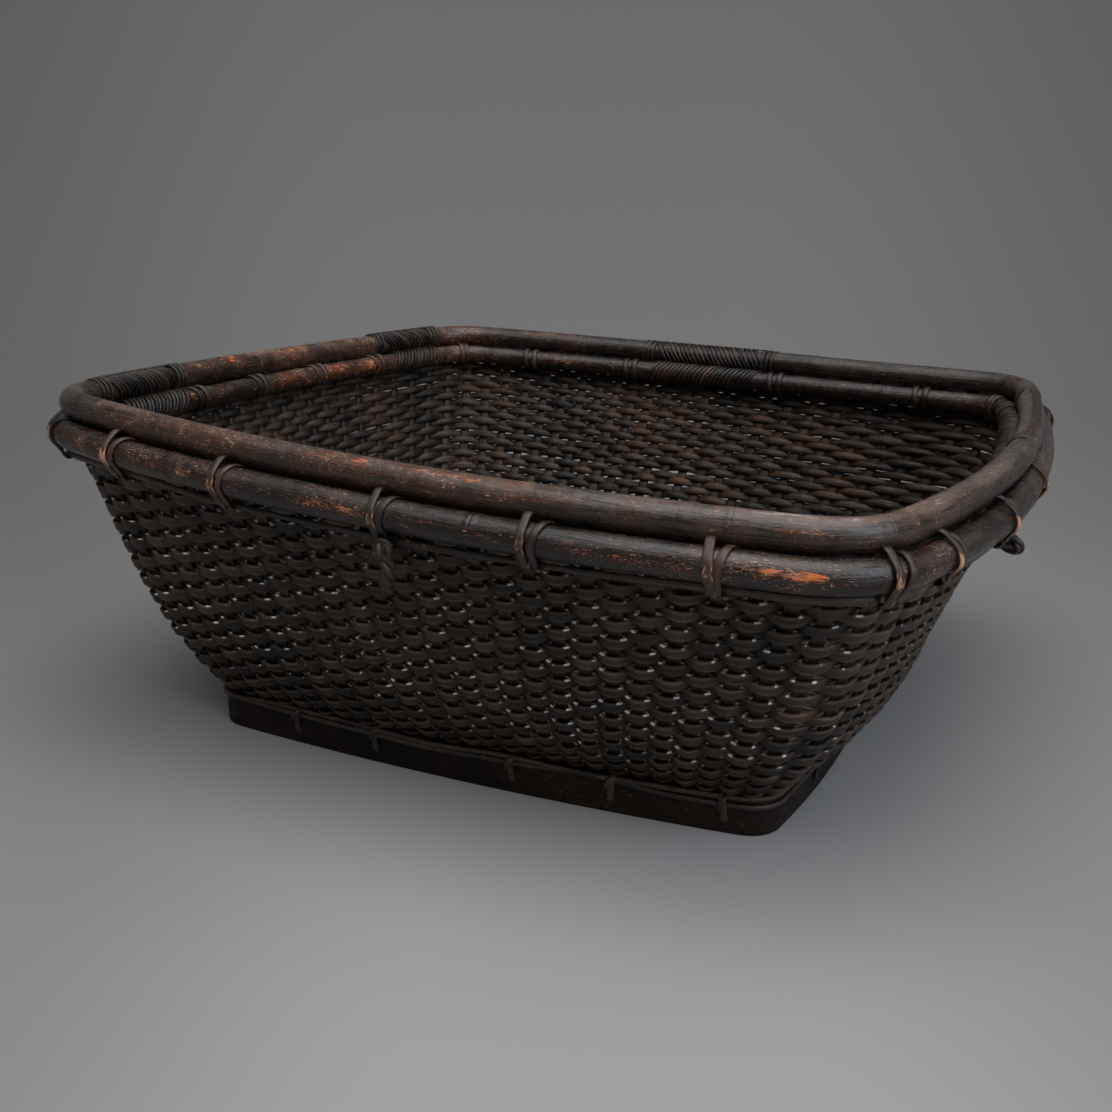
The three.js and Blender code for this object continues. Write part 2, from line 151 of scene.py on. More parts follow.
# Wall
WALL_INSET = 4.5 * MM
FRONT_TUCK = 3.5 * MM
FRONT_TUCK_PLACE_SHARE = 0.68
FRONT_TUCK_SPREAD_SHARE = 0.22
FRONT_TUCK_TOP_SHARE = 0.14
WALL_BELLY = 11.3 * MM
BELLY_LEAN_SHARE = 0.73
RIGHT_SHOULDER = 12.5 * MM
SHOULDER_PEAK_SHARE = 0.15
SHOULDER_POWER = 5.67
RIGHT_SLIMMING = 4.5 * MM
CLASP_FOOT = -23.4 * MM
CLASP_HEIGHT = 9 * MM
CLASP_SHARE = 0.06
TUCK = 7 * MM
TUCK_SHARE = 0.05

# Weave: the spacings are places along a side, and how wide the stakes stand there
ROWS = 29
FIRST_ROW_SHARE = 0.55
SPARE_ROW_SHARE = 0.35
ROW_LEAN_SHARE = 0.01
ROW_SWAY_SHARE = 0.07
ROW_SWAY_PLACE_SHARE = 0.45
STAKES_PER_SIDE = (27, 16, 25, 26)
SPACING_SHARES = {
    0: ((0.0, 0.15, 0.62, 1.0), (1.3, 1.25, 0.82, 1.0)),
    2: ((0.0, 0.2, 0.35, 0.53, 0.68, 0.87, 1.0), (1.3, 1.3, 1.02, 0.87, 0.79, 1.0, 1.0)),
    3: ((0.0, 0.28, 0.42, 1.0), (1.4, 1.4, 1.0, 0.95)),
}
FRONT_STAKE_LEAN_SHARE = 0.045
STAKE_FAN_SHARE = 0.14
STEPS_PER_STAKE = 10
FLOAT_SHARE = 1.07
FLOAT_GAIN_SHARE = 0.04
FRONT_END_SHARE = 1.05
WEAVER_THICKNESS = 2.0 * MM
WEAVER_SWING = 2.9 * MM
# Painted glints: pale colour at a float's upper edge beside each stake stands in for highlights. Their
# length, lap, and share on each side
GLINT_LENGTH = 2.4 * MM
GLINT_LAP = 0.6 * MM
GLINT_SIDE_SHARES = ((0, 1, 1.05, 2, 2.1, 3, 3.2, 4), (0.8, 1, 0.62, 0.62, 0.45, 0.45, 0.7, 0.8))
STAKE_WIDTH = 8.2 * MM
STAKE_THICKNESS = 2.2 * MM
STAKE_PITCH = 17 * MM
STAKE_SWING = 0.35 * MM

# Bottom
FLOOR_TOP = 18 * MM
FLOOR_BORDER_INSET = 1.5 * MM
FLOOR_BORDER_REACH = 6 * MM
FLOOR_STRIP_WIDTH = 11 * MM
FLOOR_STRIP_THICKNESS = 1.4 * MM
FLOOR_STRIP_PITCH = 13.5 * MM
FLOOR_STRIP_END = 2 * MM
FLOOR_STRIP_WANDER = 0.3 * MM
FLOOR_SWING_SHARE = 0.62

# Lashings: the tables give each strand's shift along the rim at shares of its way, and the widest place is
# added to the second
STRAND_WIDTH = 4.8 * MM
STRAND_THICKNESS = 1.5 * MM
STRAND_GAP = 0.15 * MM
LASHING_START = (3.5 * MM, -2.6 * MM)
LASHING_END = (-4.5 * MM, -1.2 * MM)
LASHING_CANE_GAP = 1.1 * MM
LASHING_LEAN = 1.5 * MM
LASHING_WIDEST = (6.5 * MM, 9 * MM)
LASHING_LIFT_LOW = 0.9 * MM
LASHING_LIFT_HIGH = 3.4 * MM
FIRST_SHIFTS = ((0, 0.12, 0.45, 0.6, 1), (-1.5 * MM, -1 * MM, -2 * MM, -2 * MM, -3 * MM))
SECOND_SHIFTS = ((0, 0.12, 0.3, 0.48, 0.6, 1), (3 * MM, 3.2 * MM, 5 * MM, 0, 0, 4 * MM))
KNOT_WIDTH = 3 * MM
KNOT_THICKNESS = 1.4 * MM
KNOT_GAP = 1.9 * MM
KNOT_SHIFTS = (-4 * MM, 6 * MM)
KNOT_TURNS = 1.9

# Bindings
BINDING_WIDTH = 2.4 * MM
BINDING_SINK = 1.1 * MM
BINDING_THICKNESS = 1.4 * MM
BINDING_GAP = 0.1 * MM
BINDING_PITCH = 4.1 * MM
BINDING_LEAN = 15 * MM
BINDING_WANDER = 0.35 * MM
BINDING_CROSSING = 0.35
BINDING_EASE_SHARE = 0.012
BINDING_RING_GAP = 0.5 * MM
BINDING_RING_REACH = 6 * MM
RIDGE_TOWARD = 1.35
RIDGE_SWAY = 0.26
RIDGE_SWELL = 0.3 * MM
RIDGE_THICKNESS = 1.1 * MM
RIDGE_WIDTH_SHARE = 0.75

# Lugs: each rope has its strands, how far they wind from its middle, their radius, and its lay
LUG_ROPE = {"strands": 3, "twist": 1.3 * MM, "radius": 1.7 * MM, "lay": 4.2 * MM}
LUG_BEND = 2.9 * MM
LUG_START = 4 * MM
LUG_LAP = 3 * MM
LUG_REACH = 19.2 * MM
LUG_UP = -31 * MM
LUG_DROP = 4 * MM
EYE_ROPE = {"strands": 2, "twist": 1.0 * MM, "radius": 1.4 * MM, "lay": 3.0 * MM}
EYE_RADIUS = 4.2 * MM
EYE_INSET = 2 * MM
EYE_DROP = 3 * MM
EYE_TURNS = 1.7
TAIL_ROPE = {"strands": 3, "twist": 2.1 * MM, "radius": 2.1 * MM, "lay": 3.4 * MM}
TAIL_LENGTH = 22 * MM
TAIL_INSET = 3 * MM
TAIL_DROP = 6 * MM
TAIL_SWEEP = 8 * MM
TAIL_SWAY = 2.5 * MM

# Foot's canes and stitches: a stitch's steps are a share of the band's half thickness, how far out of that
# and above the band's top in millimetres, and the way that they face, out and up
BAND_CLEARANCE = 0.05 * MM
FOOT_CANE_GAP = 0.4 * MM
FOOT_CANE_STEP_OUT = 0.9 * MM
FOOT_CANE_STEP_DOWN = 2.2 * MM
FOOT_CANE_DROP = 0.4 * MM
FOOT_CANE_WANDER_OUT = 0.35 * MM
FOOT_CANE_WANDER_UP = 0.9 * MM
FOOT_CANE_HALF_WIDTH = 1.7 * MM
FOOT_CANE_HALF_THICKNESS = 1.1 * MM
STITCH_WIDTH = 4.6 * MM
STITCH_THICKNESS = 1.6 * MM
STITCH_LEAN = 2 * MM
STITCH_STEPS = np.array([
    (-1, -1, 0.5, -0.3, 1), (-0.2, 0, 1.5, 0, 1), (1, 0.6, 1.6, 0.4, 1), (1, 2.2, 0.6, 0.9, 0.6),
    (1, 2.7, -1.4, 1, 0.1), (1, 2.3, -3.6, 1, -0.2), (1, 1.2, -6.6, 1, -0.2), (1, 0.8, -10.4, 1, 0),
    (1, 0.6, -14.2, 1, -0.1), (1, -1, -16.4, 0.8, -0.6),
])
STITCH_LOOP_STEPS = 7
STITCH_LOOP_GAP = 0.6 * MM
STITCH_LOOP_SHIFTS = (4 * MM, -3 * MM)
STITCH_LOOP_WIDTH_SHARE = 0.7

# Places round the loop, as in the frame: whole numbers are the corners, and the sides run front, right,
# back, left
LASHING_SHARES = (
    0.015, 0.142, 0.314, 0.523, 0.69, 0.868, 1.024, 1.119, 1.303, 1.506, 1.914, 2.0, 2.14, 2.385, 2.649,
    2.84, 2.99, 3.242, 3.4, 3.559, 3.713,
)
LUG_SHARES = {"lug_front": 0.53, "lug_right": 1.335, "lug_back": 2.535, "lug_left": 3.315}
STITCH_SHARES = (0.172, 0.332, 0.585, 0.755, 0.934, 1.2, 1.5, 1.8, 2.2, 2.5, 2.8, 3.2, 3.5, 3.8)
BINDING_SHARES = {
    "winding_right": (1.53, 1.89),
    "winding_back": (2.41, 2.625),
    "winding_left_back": (3.075, 3.22),
    "winding_left_front": (3.735, 3.915),
}
RIM_CORNER_LIFT_SHARES = np.array([1.0, 0.0, 0.0, 0.0])

# Stage, in metres: the floor's flat part, and the backdrop's reach and height
STAGE_FLAT = 1.1
STAGE_REACH = 3.4
STAGE_HEIGHT = 3.2
STAGE_TURNS = 96
STAGE_TINT = (1.0, 0.987, 0.975)
# The ways from the camera and across its view, along which the floor's painted light falloff runs
AWAY = (-0.455, 0.89, 0.0)
ASIDE = (0.888, 0.46, 0.0)
LIGHTS = (
    ("key", (0.25, -0.8, 2.6), 2.8, 47, (1.0, 1.0, 1.0)),
    ("side", (2.0, -0.5, 1.3), 1.8, 26, (0.78, 0.87, 1.0)),
    ("top", (0.1, 0.4, 2.8), 2.4, 11, (1.0, 1.0, 1.0)),
)
LIGHTS_TARGET = (0.0, 0.0, 0.15)
WORLD_STRENGTH = 0.48

# View, as fitted to the picture
PICTURE_PIXELS = 1112
FOCAL_PIXELS = 1266.84
SENSOR_MM = 36
VIEW_PLACE = (0.37999, -0.79164, 0.37231)
VIEW_RIGHT = (0.88765412, 0.46015655, 0.01805874)
VIEW_UP = (-0.15499859, 0.26160996, 0.95264666)
VIEW_BACK = (0.43364226, -0.84841981, 0.30354277)

UP = np.array([0.0, 0.0, 1.0])


def stations(count):
    """Even places round a loop."""
    return np.linspace(0, 4, count, endpoint=False)


def unit(v):
    return v / np.maximum(np.linalg.norm(v, axis=-1, keepdims=True), 1e-12)


def bell(x, middle, spread, power=2):
    """1 in the middle, fading to 0 on both sides."""
    return np.exp(-(((x - middle) / spread) ** power))


def apart(u, at):
    """The shorter way round the loop to u from another place."""
    return np.mod(u - at + 2, 4) - 2


class Loop:
    """A bowed rectangle with eased corners."""

    def __init__(self, length, width, bows, ease, height, sag=0.0, lift=0.0, shift=(0.0, 0.0), twist=0.0):
        self.length, self.width, self.bows, self.ease = length, width, bows, ease
        self.height, self.sag, self.lift = height, sag, lift
        self.shift, self.twist = shift, twist

    def bowed(self, u):
        u = np.mod(u, 4)
        side = np.floor(u).astype(int) % 4
        share = u - np.floor(u)
        front = side % 2 == 0
        half = np.where(front, self.length, self.width) / 2
        reach = np.where(front, self.width, self.length) / 2
        bulge = 4 * share * (1 - share)
        along = (2 * share - 1) * half
        out = reach + bulge * np.where(front, *self.bows)
        turn = self.twist + side * np.pi / 2
        lift = RIM_CORNER_LIFT_SHARES[side] * (1 - share) + RIM_CORNER_LIFT_SHARES[(side + 1) % 4] * share
        x = self.shift[0] + along * np.cos(turn) + out * np.sin(turn)
        y = self.shift[1] + along * np.sin(turn) - out * np.cos(turn)
        return np.stack([x, y, self.height - self.sag * bulge + self.lift * lift], -1)

    def point(self, u):
        """The bowed line with its corners eased, as a mean over the ease."""
        run = 2 * self.ease / (self.length + self.width)
        steps = (2 * (np.arange(EASE_STEPS) + 0.5)) / EASE_STEPS - 1
        return sum(self.bowed(u + run * step) for step in steps) / EASE_STEPS

    def outward(self, u):
        run = self.point(u + 0.01) - self.point(u - 0.01)
        return unit(np.stack([run[..., 1], -run[..., 0], 0 * run[..., 0]], -1))

    def place(self, u, out, up):
        """Points out of the line and above it."""
        point = self.point(u) + self.outward(u) * np.asarray(out)[..., None]
        point[..., 2] += up
        return point

    def share_of(self, u, distance):
        """The share of the side at u that a distance along the loop is."""
        front = np.floor(np.mod(u, 4)).astype(int) % 2 == 0
        return distance / np.where(front, self.length, self.width)


rim = Loop(
    RIM_LENGTH, RIM_WIDTH, (RIM_FRONT_BOW, RIM_SIDE_BOW), RIM_CORNER_EASE, RIM_HEIGHT,
    sag=RIM_SAG, lift=RIM_CORNER_LIFT,
)
foot = Loop(
    FOOT_LENGTH, FOOT_WIDTH, (FOOT_FRONT_BOW, FOOT_SIDE_BOW), FOOT_CORNER_EASE, 0.0,
    shift=(FOOT_SHIFT_X, FOOT_SHIFT_Y), twist=FOOT_TWIST,
)


def wall_point(u_low, u_high, share):
    """A point of the wall's middle surface: u_low is its place over the foot and u_high below the rim."""
    low = foot.place(u_low, 0 * u_low - WALL_INSET, FOOT_HEIGHT)
    high = rim.place(u_high, 0 * u_high, CLASP_FOOT)
    s = np.clip(share, 0, 1)[..., None]
    outward = unit(foot.outward(u_low) * (1 - s) + rim.outward(u_high) * s)
    u = np.mod(u_low, 4)
    fade = np.where((u >= 1) & (u < 2), np.sin(np.pi * (u - 1)), 0.0)[..., None]
    belly = (WALL_BELLY - RIGHT_SLIMMING * fade) * 4 * s * (1 - s) * (1 + BELLY_LEAN_SHARE * (1 - 2 * s))
    peak = SHOULDER_PEAK_SHARE * (1 - SHOULDER_PEAK_SHARE) ** SHOULDER_POWER
    shoulder = RIGHT_SHOULDER * fade * s * (1 - s) ** SHOULDER_POWER / peak
    low_front = bell(u, FRONT_TUCK_PLACE_SHARE, FRONT_TUCK_SPREAD_SHARE, 4)[..., None]
    low_front = low_front * np.clip(1 - s / FRONT_TUCK_TOP_SHARE, 0, 1)
    point = low * (1 - s) + high * s + outward * (belly + shoulder - FRONT_TUCK * low_front)
    point[..., 2] += np.maximum(share - 1, 0) * CLASP_HEIGHT / CLASP_SHARE
    point[..., 2] += np.minimum(share, 0) * TUCK / TUCK_SHARE
    return point


# Mesh building


def linked(name, data):
    obj = bpy.data.objects.new(name, data)
    bpy.context.scene.collection.objects.link(obj)
    return obj


def smooth_mesh(name, points, faces, material):
    mesh = bpy.data.meshes.new(name)
    mesh.from_pydata(points, [], faces)
    mesh.polygons.foreach_set("use_smooth", np.ones(len(mesh.polygons), dtype=bool))
    mesh.materials.append(material)
    return mesh


def cells(rows, columns, closed_rows):
    """The quads of a grid of points whose columns close."""
    i, j = np.arange(rows if closed_rows else rows - 1), np.arange(columns)
    i, j = [a.ravel() for a in np.meshgrid(i, j, indexing="ij")]
    i2, j2 = (i + 1) % rows, (j + 1) % columns
    return np.stack([i * columns + j, i * columns + j2, i2 * columns + j2, i2 * columns + j], -1)


# How fast the laid UV runs along a strip, and how far each strip's is from the last one's
LAY_PER_METRE = 10
LAY_STEP = 7.3


class Piece:
    """Swept strips gathered into one mesh, with a UV laid along each and numbers kept on its points."""

    def __init__(self, name, slot, replaces=()):
        self.name, self.slot, self.replaces = name, slot, replaces
        self.points, self.quads, self.caps, self.uvs = [], [], [], []
        self.numbers = {"tone": [], "wear": [], "edge": []}
        self.count = 0

    def sweep(self, path, face, side, outline, half_width, half_depth, closed=False, **numbers):
        """Sweeps an outline of (side, face) shares along a path; widths and numbers may change along it."""
        steps, sides = len(path), len(outline)
        across = outline[None, :, 0] * np.broadcast_to(half_width, steps)[:, None]
        depth = outline[None, :, 1] * np.broadcast_to(half_depth, steps)[:, None]
        points = path[:, None] + side[:, None] * across[..., None] + face[:, None] * depth[..., None]
        quads = cells(steps, sides, closed) + self.count
        length = np.concatenate([[0], np.cumsum(np.linalg.norm(np.diff(path, axis=0), axis=1))])
        if closed:
            length = np.append(length, length[-1] + np.linalg.norm(path[0] - path[-1]))
        row = np.arange(quads.shape[0]) // sides
        column = np.arange(quads.shape[0]) % sides
        u = length * LAY_PER_METRE + LAY_STEP * len(self.quads)
        v = np.arange(sides + 1) / sides
        corners = ((0, 0), (0, 1), (1, 1), (1, 0))
        uv = np.stack([np.stack([u[row + i], v[column + j]], -1) for i, j in corners], 1)
        self.points.append(points.reshape(-1, 3))
        self.quads.append(quads)
        self.uvs.append(uv.reshape(-1, 2))
        for name, kept in self.numbers.items():
            value = np.asarray(numbers.get(name, 0.0), dtype=float)
            if value.ndim == 1 and len(value) == steps:
                value = value[:, None]
            kept.append(np.broadcast_to(value, (steps, sides)).ravel())
        if not closed:
            first = np.arange(sides) + self.count
            self.caps += [first[::-1].tolist(), (first + (steps - 1) * sides).tolist()]
        self.count += steps * sides

    def build(self, material):
        points = np.concatenate(self.points).tolist()
        faces = np.concatenate(self.quads).tolist() + self.caps
        mesh = smooth_mesh(self.name, points, faces, material)
        layer = mesh.uv_layers.new(name="lay")
        uv = np.zeros((len(mesh.loops), 2))
        flat = np.concatenate(self.uvs)
        uv[: len(flat)] = flat
        layer.data.foreach_set("uv", uv.ravel())
        for name, values in self.numbers.items():
            attribute = mesh.attributes.new(name, "FLOAT", "POINT")
            attribute.data.foreach_set("value", np.concatenate(values))
        mesh.update()
        obj = linked(self.name, mesh)
        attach(obj, "root")
        if self.replaces:
            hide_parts(*self.replaces)


def round_angles(sides):
    return np.arange(sides) * 2 * np.pi / sides


def oval(sides, squareness=2.4):
    """A rounded flat outline, widest along its side axis; a squareness of 2 makes it round."""
    angle = round_angles(sides)
    c, s = np.cos(angle), np.sin(angle)
    power = 2 / squareness
    return np.stack([np.sign(c) * np.abs(c) ** power, np.sign(s) * np.abs(s) ** power], -1)


def frame_of(path, hint, closed=False):
    """Face and side directions along a path, with the face as near to the hint as it can be."""
    if closed:
        along = unit(np.roll(path, -1, 0) - np.roll(path, 1, 0))
    else:
        along = unit(np.gradient(path, axis=0))
    side = unit(np.cross(along, hint))
    return unit(np.cross(side, along)), side


def wander(count, span, size):
    """A smooth random walk round zero: one value a step, with bends about every span steps."""
    knots = max(4, int(round(count / span)))
    values = rng.normal(0, size, knots)
    at = np.arange(count) * knots / count
    low = np.floor(at).astype(int)
    t = at - low
    t = t * t * (3 - 2 * t)
    return values[low % knots] * (1 - t) + values[(low + 1) % knots] * t


# Materials


def nodes_of(name):
    material = bpy.data.materials.new(name)
    material.use_nodes = True
    tree = material.node_tree
    return material, tree, tree.nodes["Principled BSDF"]


def add(tree, kind, inputs=(), **settings):
    """A node with its settings made and its inputs set, or linked where the value is a socket."""
    node = tree.nodes.new(kind)
    for key, value in settings.items():
        setattr(node, key, value)
    for key, value in dict(inputs).items():
        if isinstance(value, bpy.types.NodeSocket):
            tree.links.new(value, node.inputs[key])
        else:
            node.inputs[key].default_value = value
    return node


def number(tree, name):
    return add(tree, "ShaderNodeAttribute", attribute_name=name).outputs["Fac"]


def sums(tree, operation, a, b):
    return add(tree, "ShaderNodeMath", {0: a, 1: b}, operation=operation).outputs[0]


def weighted(tree, *terms):
    """The sum of (number, weight) pairs."""
    total = 0.0
    for value, weight in terms:
        settings = {0: value, 1: weight, 2: total}
        total = add(tree, "ShaderNodeMath", settings, operation="MULTIPLY_ADD").outputs[0]
    return total


def noise(tree, vector, scale, detail=4.0, roughness=0.55, distortion=0.0):
    settings = {
        "Vector": vector, "Scale": scale, "Detail": detail, "Roughness": roughness, "Distortion": distortion,
    }
    return add(tree, "ShaderNodeTexNoise", settings).outputs["Fac"]


def ramp(tree, value, low, high, to_low=0.0, to_high=1.0):
    settings = {"Value": value, "From Min": low, "From Max": high, "To Min": to_low, "To Max": to_high}
    return add(tree, "ShaderNodeMapRange", settings, interpolation_type="SMOOTHSTEP").outputs["Result"]


def mix(tree, share, a, b, blend="MIX"):
    a, b = ((*value, 1.0) if isinstance(value, tuple) else value for value in (a, b))
    inputs = {0: share, 6: a, 7: b}
    return add(tree, "ShaderNodeMix", inputs, data_type="RGBA", blend_type=blend).outputs[2]


def grey(tree, value):
    return add(tree, "ShaderNodeCombineColor", {0: value, 1: value, 2: value}).outputs[0]


# Colours that the canes share
DUST_AND_SHEEN = (0.15, 0.128, 0.115)
DARK_FLAKE = (0.26, 0.06, 0.02)
LIGHT_FLAKE = (0.55, 0.27, 0.14)
# Near-white of the painted glints and painted highlights
PINHOLE = (0.5, 0.34, 0.24)
PAINTED_GLINT_COLOUR = (0.86, 0.83, 0.78)
STAIN_SHARES = (0.16, 0.12, 0.12)
HOT_SHARES = (1.1, 0.6, 0.4)


def scaled(colour, shares):
    """A colour times one share, or times a share for each channel."""
    return tuple((np.array(colour) * shares).tolist())


def cane_material(
    name, dark, light, warm, bare, grain, patches, chips, fleck, roughness, specular, bump,
    dust_and_sheen=0.0, flakes=0.0, scratches=0.0, glint_speckle=0.0, lines=0.6,
):
    """Lacquered cane: dark streaks along the strip, warm worn patches, bare flecks and a satin gloss.
    A lower fleck lays more bare, and the grain, patches and chips are scales along and across the strip."""
    material, tree, bsdf = nodes_of(name)
    lay = add(tree, "ShaderNodeUVMap", uv_map="lay").outputs["UV"]
    place = add(tree, "ShaderNodeTexCoord").outputs["Object"]

    def laid(along, across, *settings):
        """Noise with a scale along the strip and one across it."""
        mapped = add(tree, "ShaderNodeMapping", {"Vector": lay, "Scale": (along, across, 1.0)})
        return noise(tree, mapped.outputs["Vector"], *settings)

    streak = laid(*grain, 1.0, 5.0, 0.6)
    fine = laid(grain[0] * 2.5, grain[1] * 3, 1.0, 3.0, 0.65)
    crack = laid(grain[0] * 0.6, grain[1] * 0.8, 1.3, 3.0, 0.5, 0.6)
    cloud = noise(tree, place, 14.0, 4.0, 0.6)
    mottle = noise(tree, place, 85.0, 5.0, 0.68)
    speck = noise(tree, place, 300.0, 2.0, 0.5)
    patch = laid(*patches, 1.0, 7.0, 0.66, 0.7)
    chip = laid(*chips, 1.0, 5.0, 0.64, 1.1)
    tone, wear, edge = (number(tree, what) for what in ("tone", "wear", "edge"))

    # The lacquer, darker or lighter by the tone of each strip
    middle = 0.85 + lines / 2
    mixed = weighted(tree, (streak, 1.0), (mottle, 0.35), (cloud, 0.35), (fine, lines))
    base = mix(tree, ramp(tree, mixed, middle - 0.2, middle + 0.27), dark, light)
    warmth = weighted(tree, (cloud, 0.6), (mottle, 0.4), (tone, 0.05), (wear, 0.1))
    base = mix(tree, ramp(tree, warmth, 0.4, 0.64, 0.0, 0.85), base, warm)
    # Partly dust and partly painted sheen: a pale grey film on faces that look up
    if dust_and_sheen:
        up = add(tree, "ShaderNodeSeparateXYZ", {0: add(tree, "ShaderNodeNewGeometry").outputs["Normal"]})
        lying = ramp(tree, up.outputs["Z"], 0.1, 0.95)
        lying = sums(tree, "MULTIPLY", lying, ramp(tree, sums(tree, "ADD", fine, mottle), 0.8, 1.2))
        base = mix(tree, sums(tree, "MULTIPLY", lying, dust_and_sheen), base, DUST_AND_SHEEN)
    split = ramp(tree, crack, 0.33, 0.4, 0.3, 1.0)
    base = mix(tree, 1.0, base, grey(tree, split), "MULTIPLY")
    # Painted highlight: a lighter line where the highlight number is low, as along the floats' rims
    base = mix(tree, ramp(tree, edge, 0.02, 0.2, 0.0, 0.6), base, scaled(light, 2.6))
    if scratches:
        line = ramp(tree, weighted(tree, (fine, 1.0), (cloud, 0.3)), 0.83, 0.89, 0.0, scratches)
        base = mix(tree, line, base, scaled(light, 3.2))
    base = mix(tree, 1.0, base, grey(tree, ramp(tree, tone, -1.5, 1.5, 0.4, 1.55)), "MULTIPLY")

    # What the wear has laid bare
    stain = ramp(tree, weighted(tree, (patch, 1.0), (wear, 0.22)), fleck, fleck + 0.18, 0.0, 0.7)
    base = mix(tree, stain, base, scaled(bare, STAIN_SHARES))
    peeled = weighted(tree, (patch, 0.5), (chip, 1.0), (wear, 0.26))
    worn = ramp(tree, peeled, fleck + 0.38, fleck + 0.41)
    glow = ramp(tree, peeled, fleck + 0.39, fleck + 0.49)
    hot = mix(tree, ramp(tree, wear, 1.5, 2.1), bare, scaled(bare, HOT_SHARES))
    base = mix(tree, worn, base, mix(tree, glow, scaled(bare, 0.36), hot))
    if flakes:
        flake = laid(22.0, 34.0, 1.0, 2.0, 0.5, 2.6)
        flake = weighted(tree, (flake, 1.0), (wear, 0.06), (cloud, 0.35))
        flake = ramp(tree, flake, 0.815, 0.835, 0.0, flakes)
        colour = mix(tree, ramp(tree, mottle, 0.42, 0.6), DARK_FLAKE, LIGHT_FLAKE)
        base = mix(tree, flake, base, colour)
    pin = ramp(tree, weighted(tree, (speck, 1.0), (wear, 0.03)), 0.765, 0.795, 0.0, 0.8)
    base = mix(tree, pin, base, PINHOLE)
    # Painted glints: near-white where the highlight number is high, speckled by fine noise on the poles
    glint_share = ramp(tree, weighted(tree, (edge, 1.0), (fine, glint_speckle)), 0.42 + glint_speckle / 2, 0.68 + glint_speckle / 2)
    glint_share = sums(tree, "MULTIPLY", glint_share, ramp(tree, mottle, 0.3, 0.5, 0.7, 1.0))
    base = mix(tree, glint_share, base, PAINTED_GLINT_COLOUR)
    tree.links.new(base, bsdf.inputs["Base Color"])

    gloss = weighted(tree, (ramp(tree, fine, 0.3, 0.7, *roughness), 1.0), (worn, 0.12))
    gloss = sums(tree, "ADD", gloss, ramp(tree, mottle, 0.35, 0.65, -0.1, 0.1))
    tree.links.new(gloss, bsdf.inputs["Roughness"])
    bsdf.inputs["Specular IOR Level"].default_value = specular
    relief = weighted(tree, (streak, 0.6), (fine, 0.35), (mottle, 0.5), (split, 0.5), (worn, -0.3))
    raised = add(tree, "ShaderNodeBump", {"Height": relief, "Strength": bump, "Distance": 0.0014})
    tree.links.new(raised.outputs["Normal"], bsdf.inputs["Normal"])
    return material


WEAVE = cane_material(
    "weave_cane", dark=(0.0075, 0.005, 0.0033), light=(0.041, 0.0285, 0.0195), warm=(0.048, 0.0255, 0.013),
    bare=(0.42, 0.19, 0.095), grain=(5.0, 13.0), patches=(9.0, 5.0), chips=(16.0, 12.0), fleck=0.72,
    roughness=(0.34, 0.56), specular=0.32, bump=0.6, lines=1.1,
)
RAIL = cane_material(
    "rail_cane", dark=(0.012, 0.0076, 0.0056), light=(0.058, 0.0395, 0.031), warm=(0.062, 0.0285, 0.0175),
    bare=(0.66, 0.16, 0.042), grain=(3.0, 34.0), patches=(7.5, 9.0), chips=(12.0, 26.0), fleck=0.65,
    roughness=(0.14, 0.34), specular=0.5, bump=0.4, dust_and_sheen=0.35, flakes=0.8, scratches=0.5, glint_speckle=1.6,
    lines=0.3,
)
STRAND = cane_material(
    "strand_cane", dark=(0.0095, 0.0068, 0.0052), light=(0.05, 0.037, 0.029), warm=(0.055, 0.028, 0.0165),
    bare=(0.6, 0.31, 0.175), grain=(5.0, 12.0), patches=(11.0, 3.0), chips=(14.0, 7.0), fleck=0.64,
    roughness=(0.22, 0.42), specular=0.45, bump=0.45,
)
FOOT = cane_material(
    "foot_band_wood", dark=(0.0018, 0.001, 0.0007), light=(0.006, 0.0036, 0.0024),
    warm=(0.0085, 0.0042, 0.0024), bare=(0.22, 0.11, 0.06), grain=(2.4, 40.0), patches=(7.0, 9.0),
    chips=(16.0, 30.0), fleck=0.7, roughness=(0.42, 0.66), specular=0.18, bump=0.45, flakes=0.1,
)


# Weave


def stake_places():
    """The stakes' places below the rim and over the foot. They fan out near the corners."""
    high, low = [], []
    for side, count in enumerate(STAKES_PER_SIDE):
        t = (np.arange(count) + 0.5) / count
        if side in SPACING_SHARES:
            fine = np.linspace(0, 1, 400)
            passed = np.cumsum(1 / np.interp(fine, *SPACING_SHARES[side]))
            t = np.interp(t, passed / passed[-1], fine)
        c = 2 * t - 1
        low_t = 0.5 + 0.5 * ((1 + STAKE_FAN_SHARE) * c - STAKE_FAN_SHARE * c**3)
        if side == 0:
            low_t = low_t - FRONT_STAKE_LEAN_SHARE * np.sqrt(4 * t * (1 - t))
        high.append(side + t)
        low.append(side + np.clip(low_t, 0.012, 0.988))
    return np.concatenate(low), np.concatenate(high)


stake_low, stake_high = stake_places()
STAKES = len(stake_low)


def row_share(row, u):
    """How high a row lies at a place: at the back they crowd towards the rim, in front towards the foot."""
    t = (row + FIRST_ROW_SHARE) / (ROWS + SPARE_ROW_SHARE)
    lean = ROW_LEAN_SHARE + ROW_SWAY_SHARE * np.cos((u - ROW_SWAY_PLACE_SHARE) * np.pi / 2)
    return t + lean * t * (t - 1)


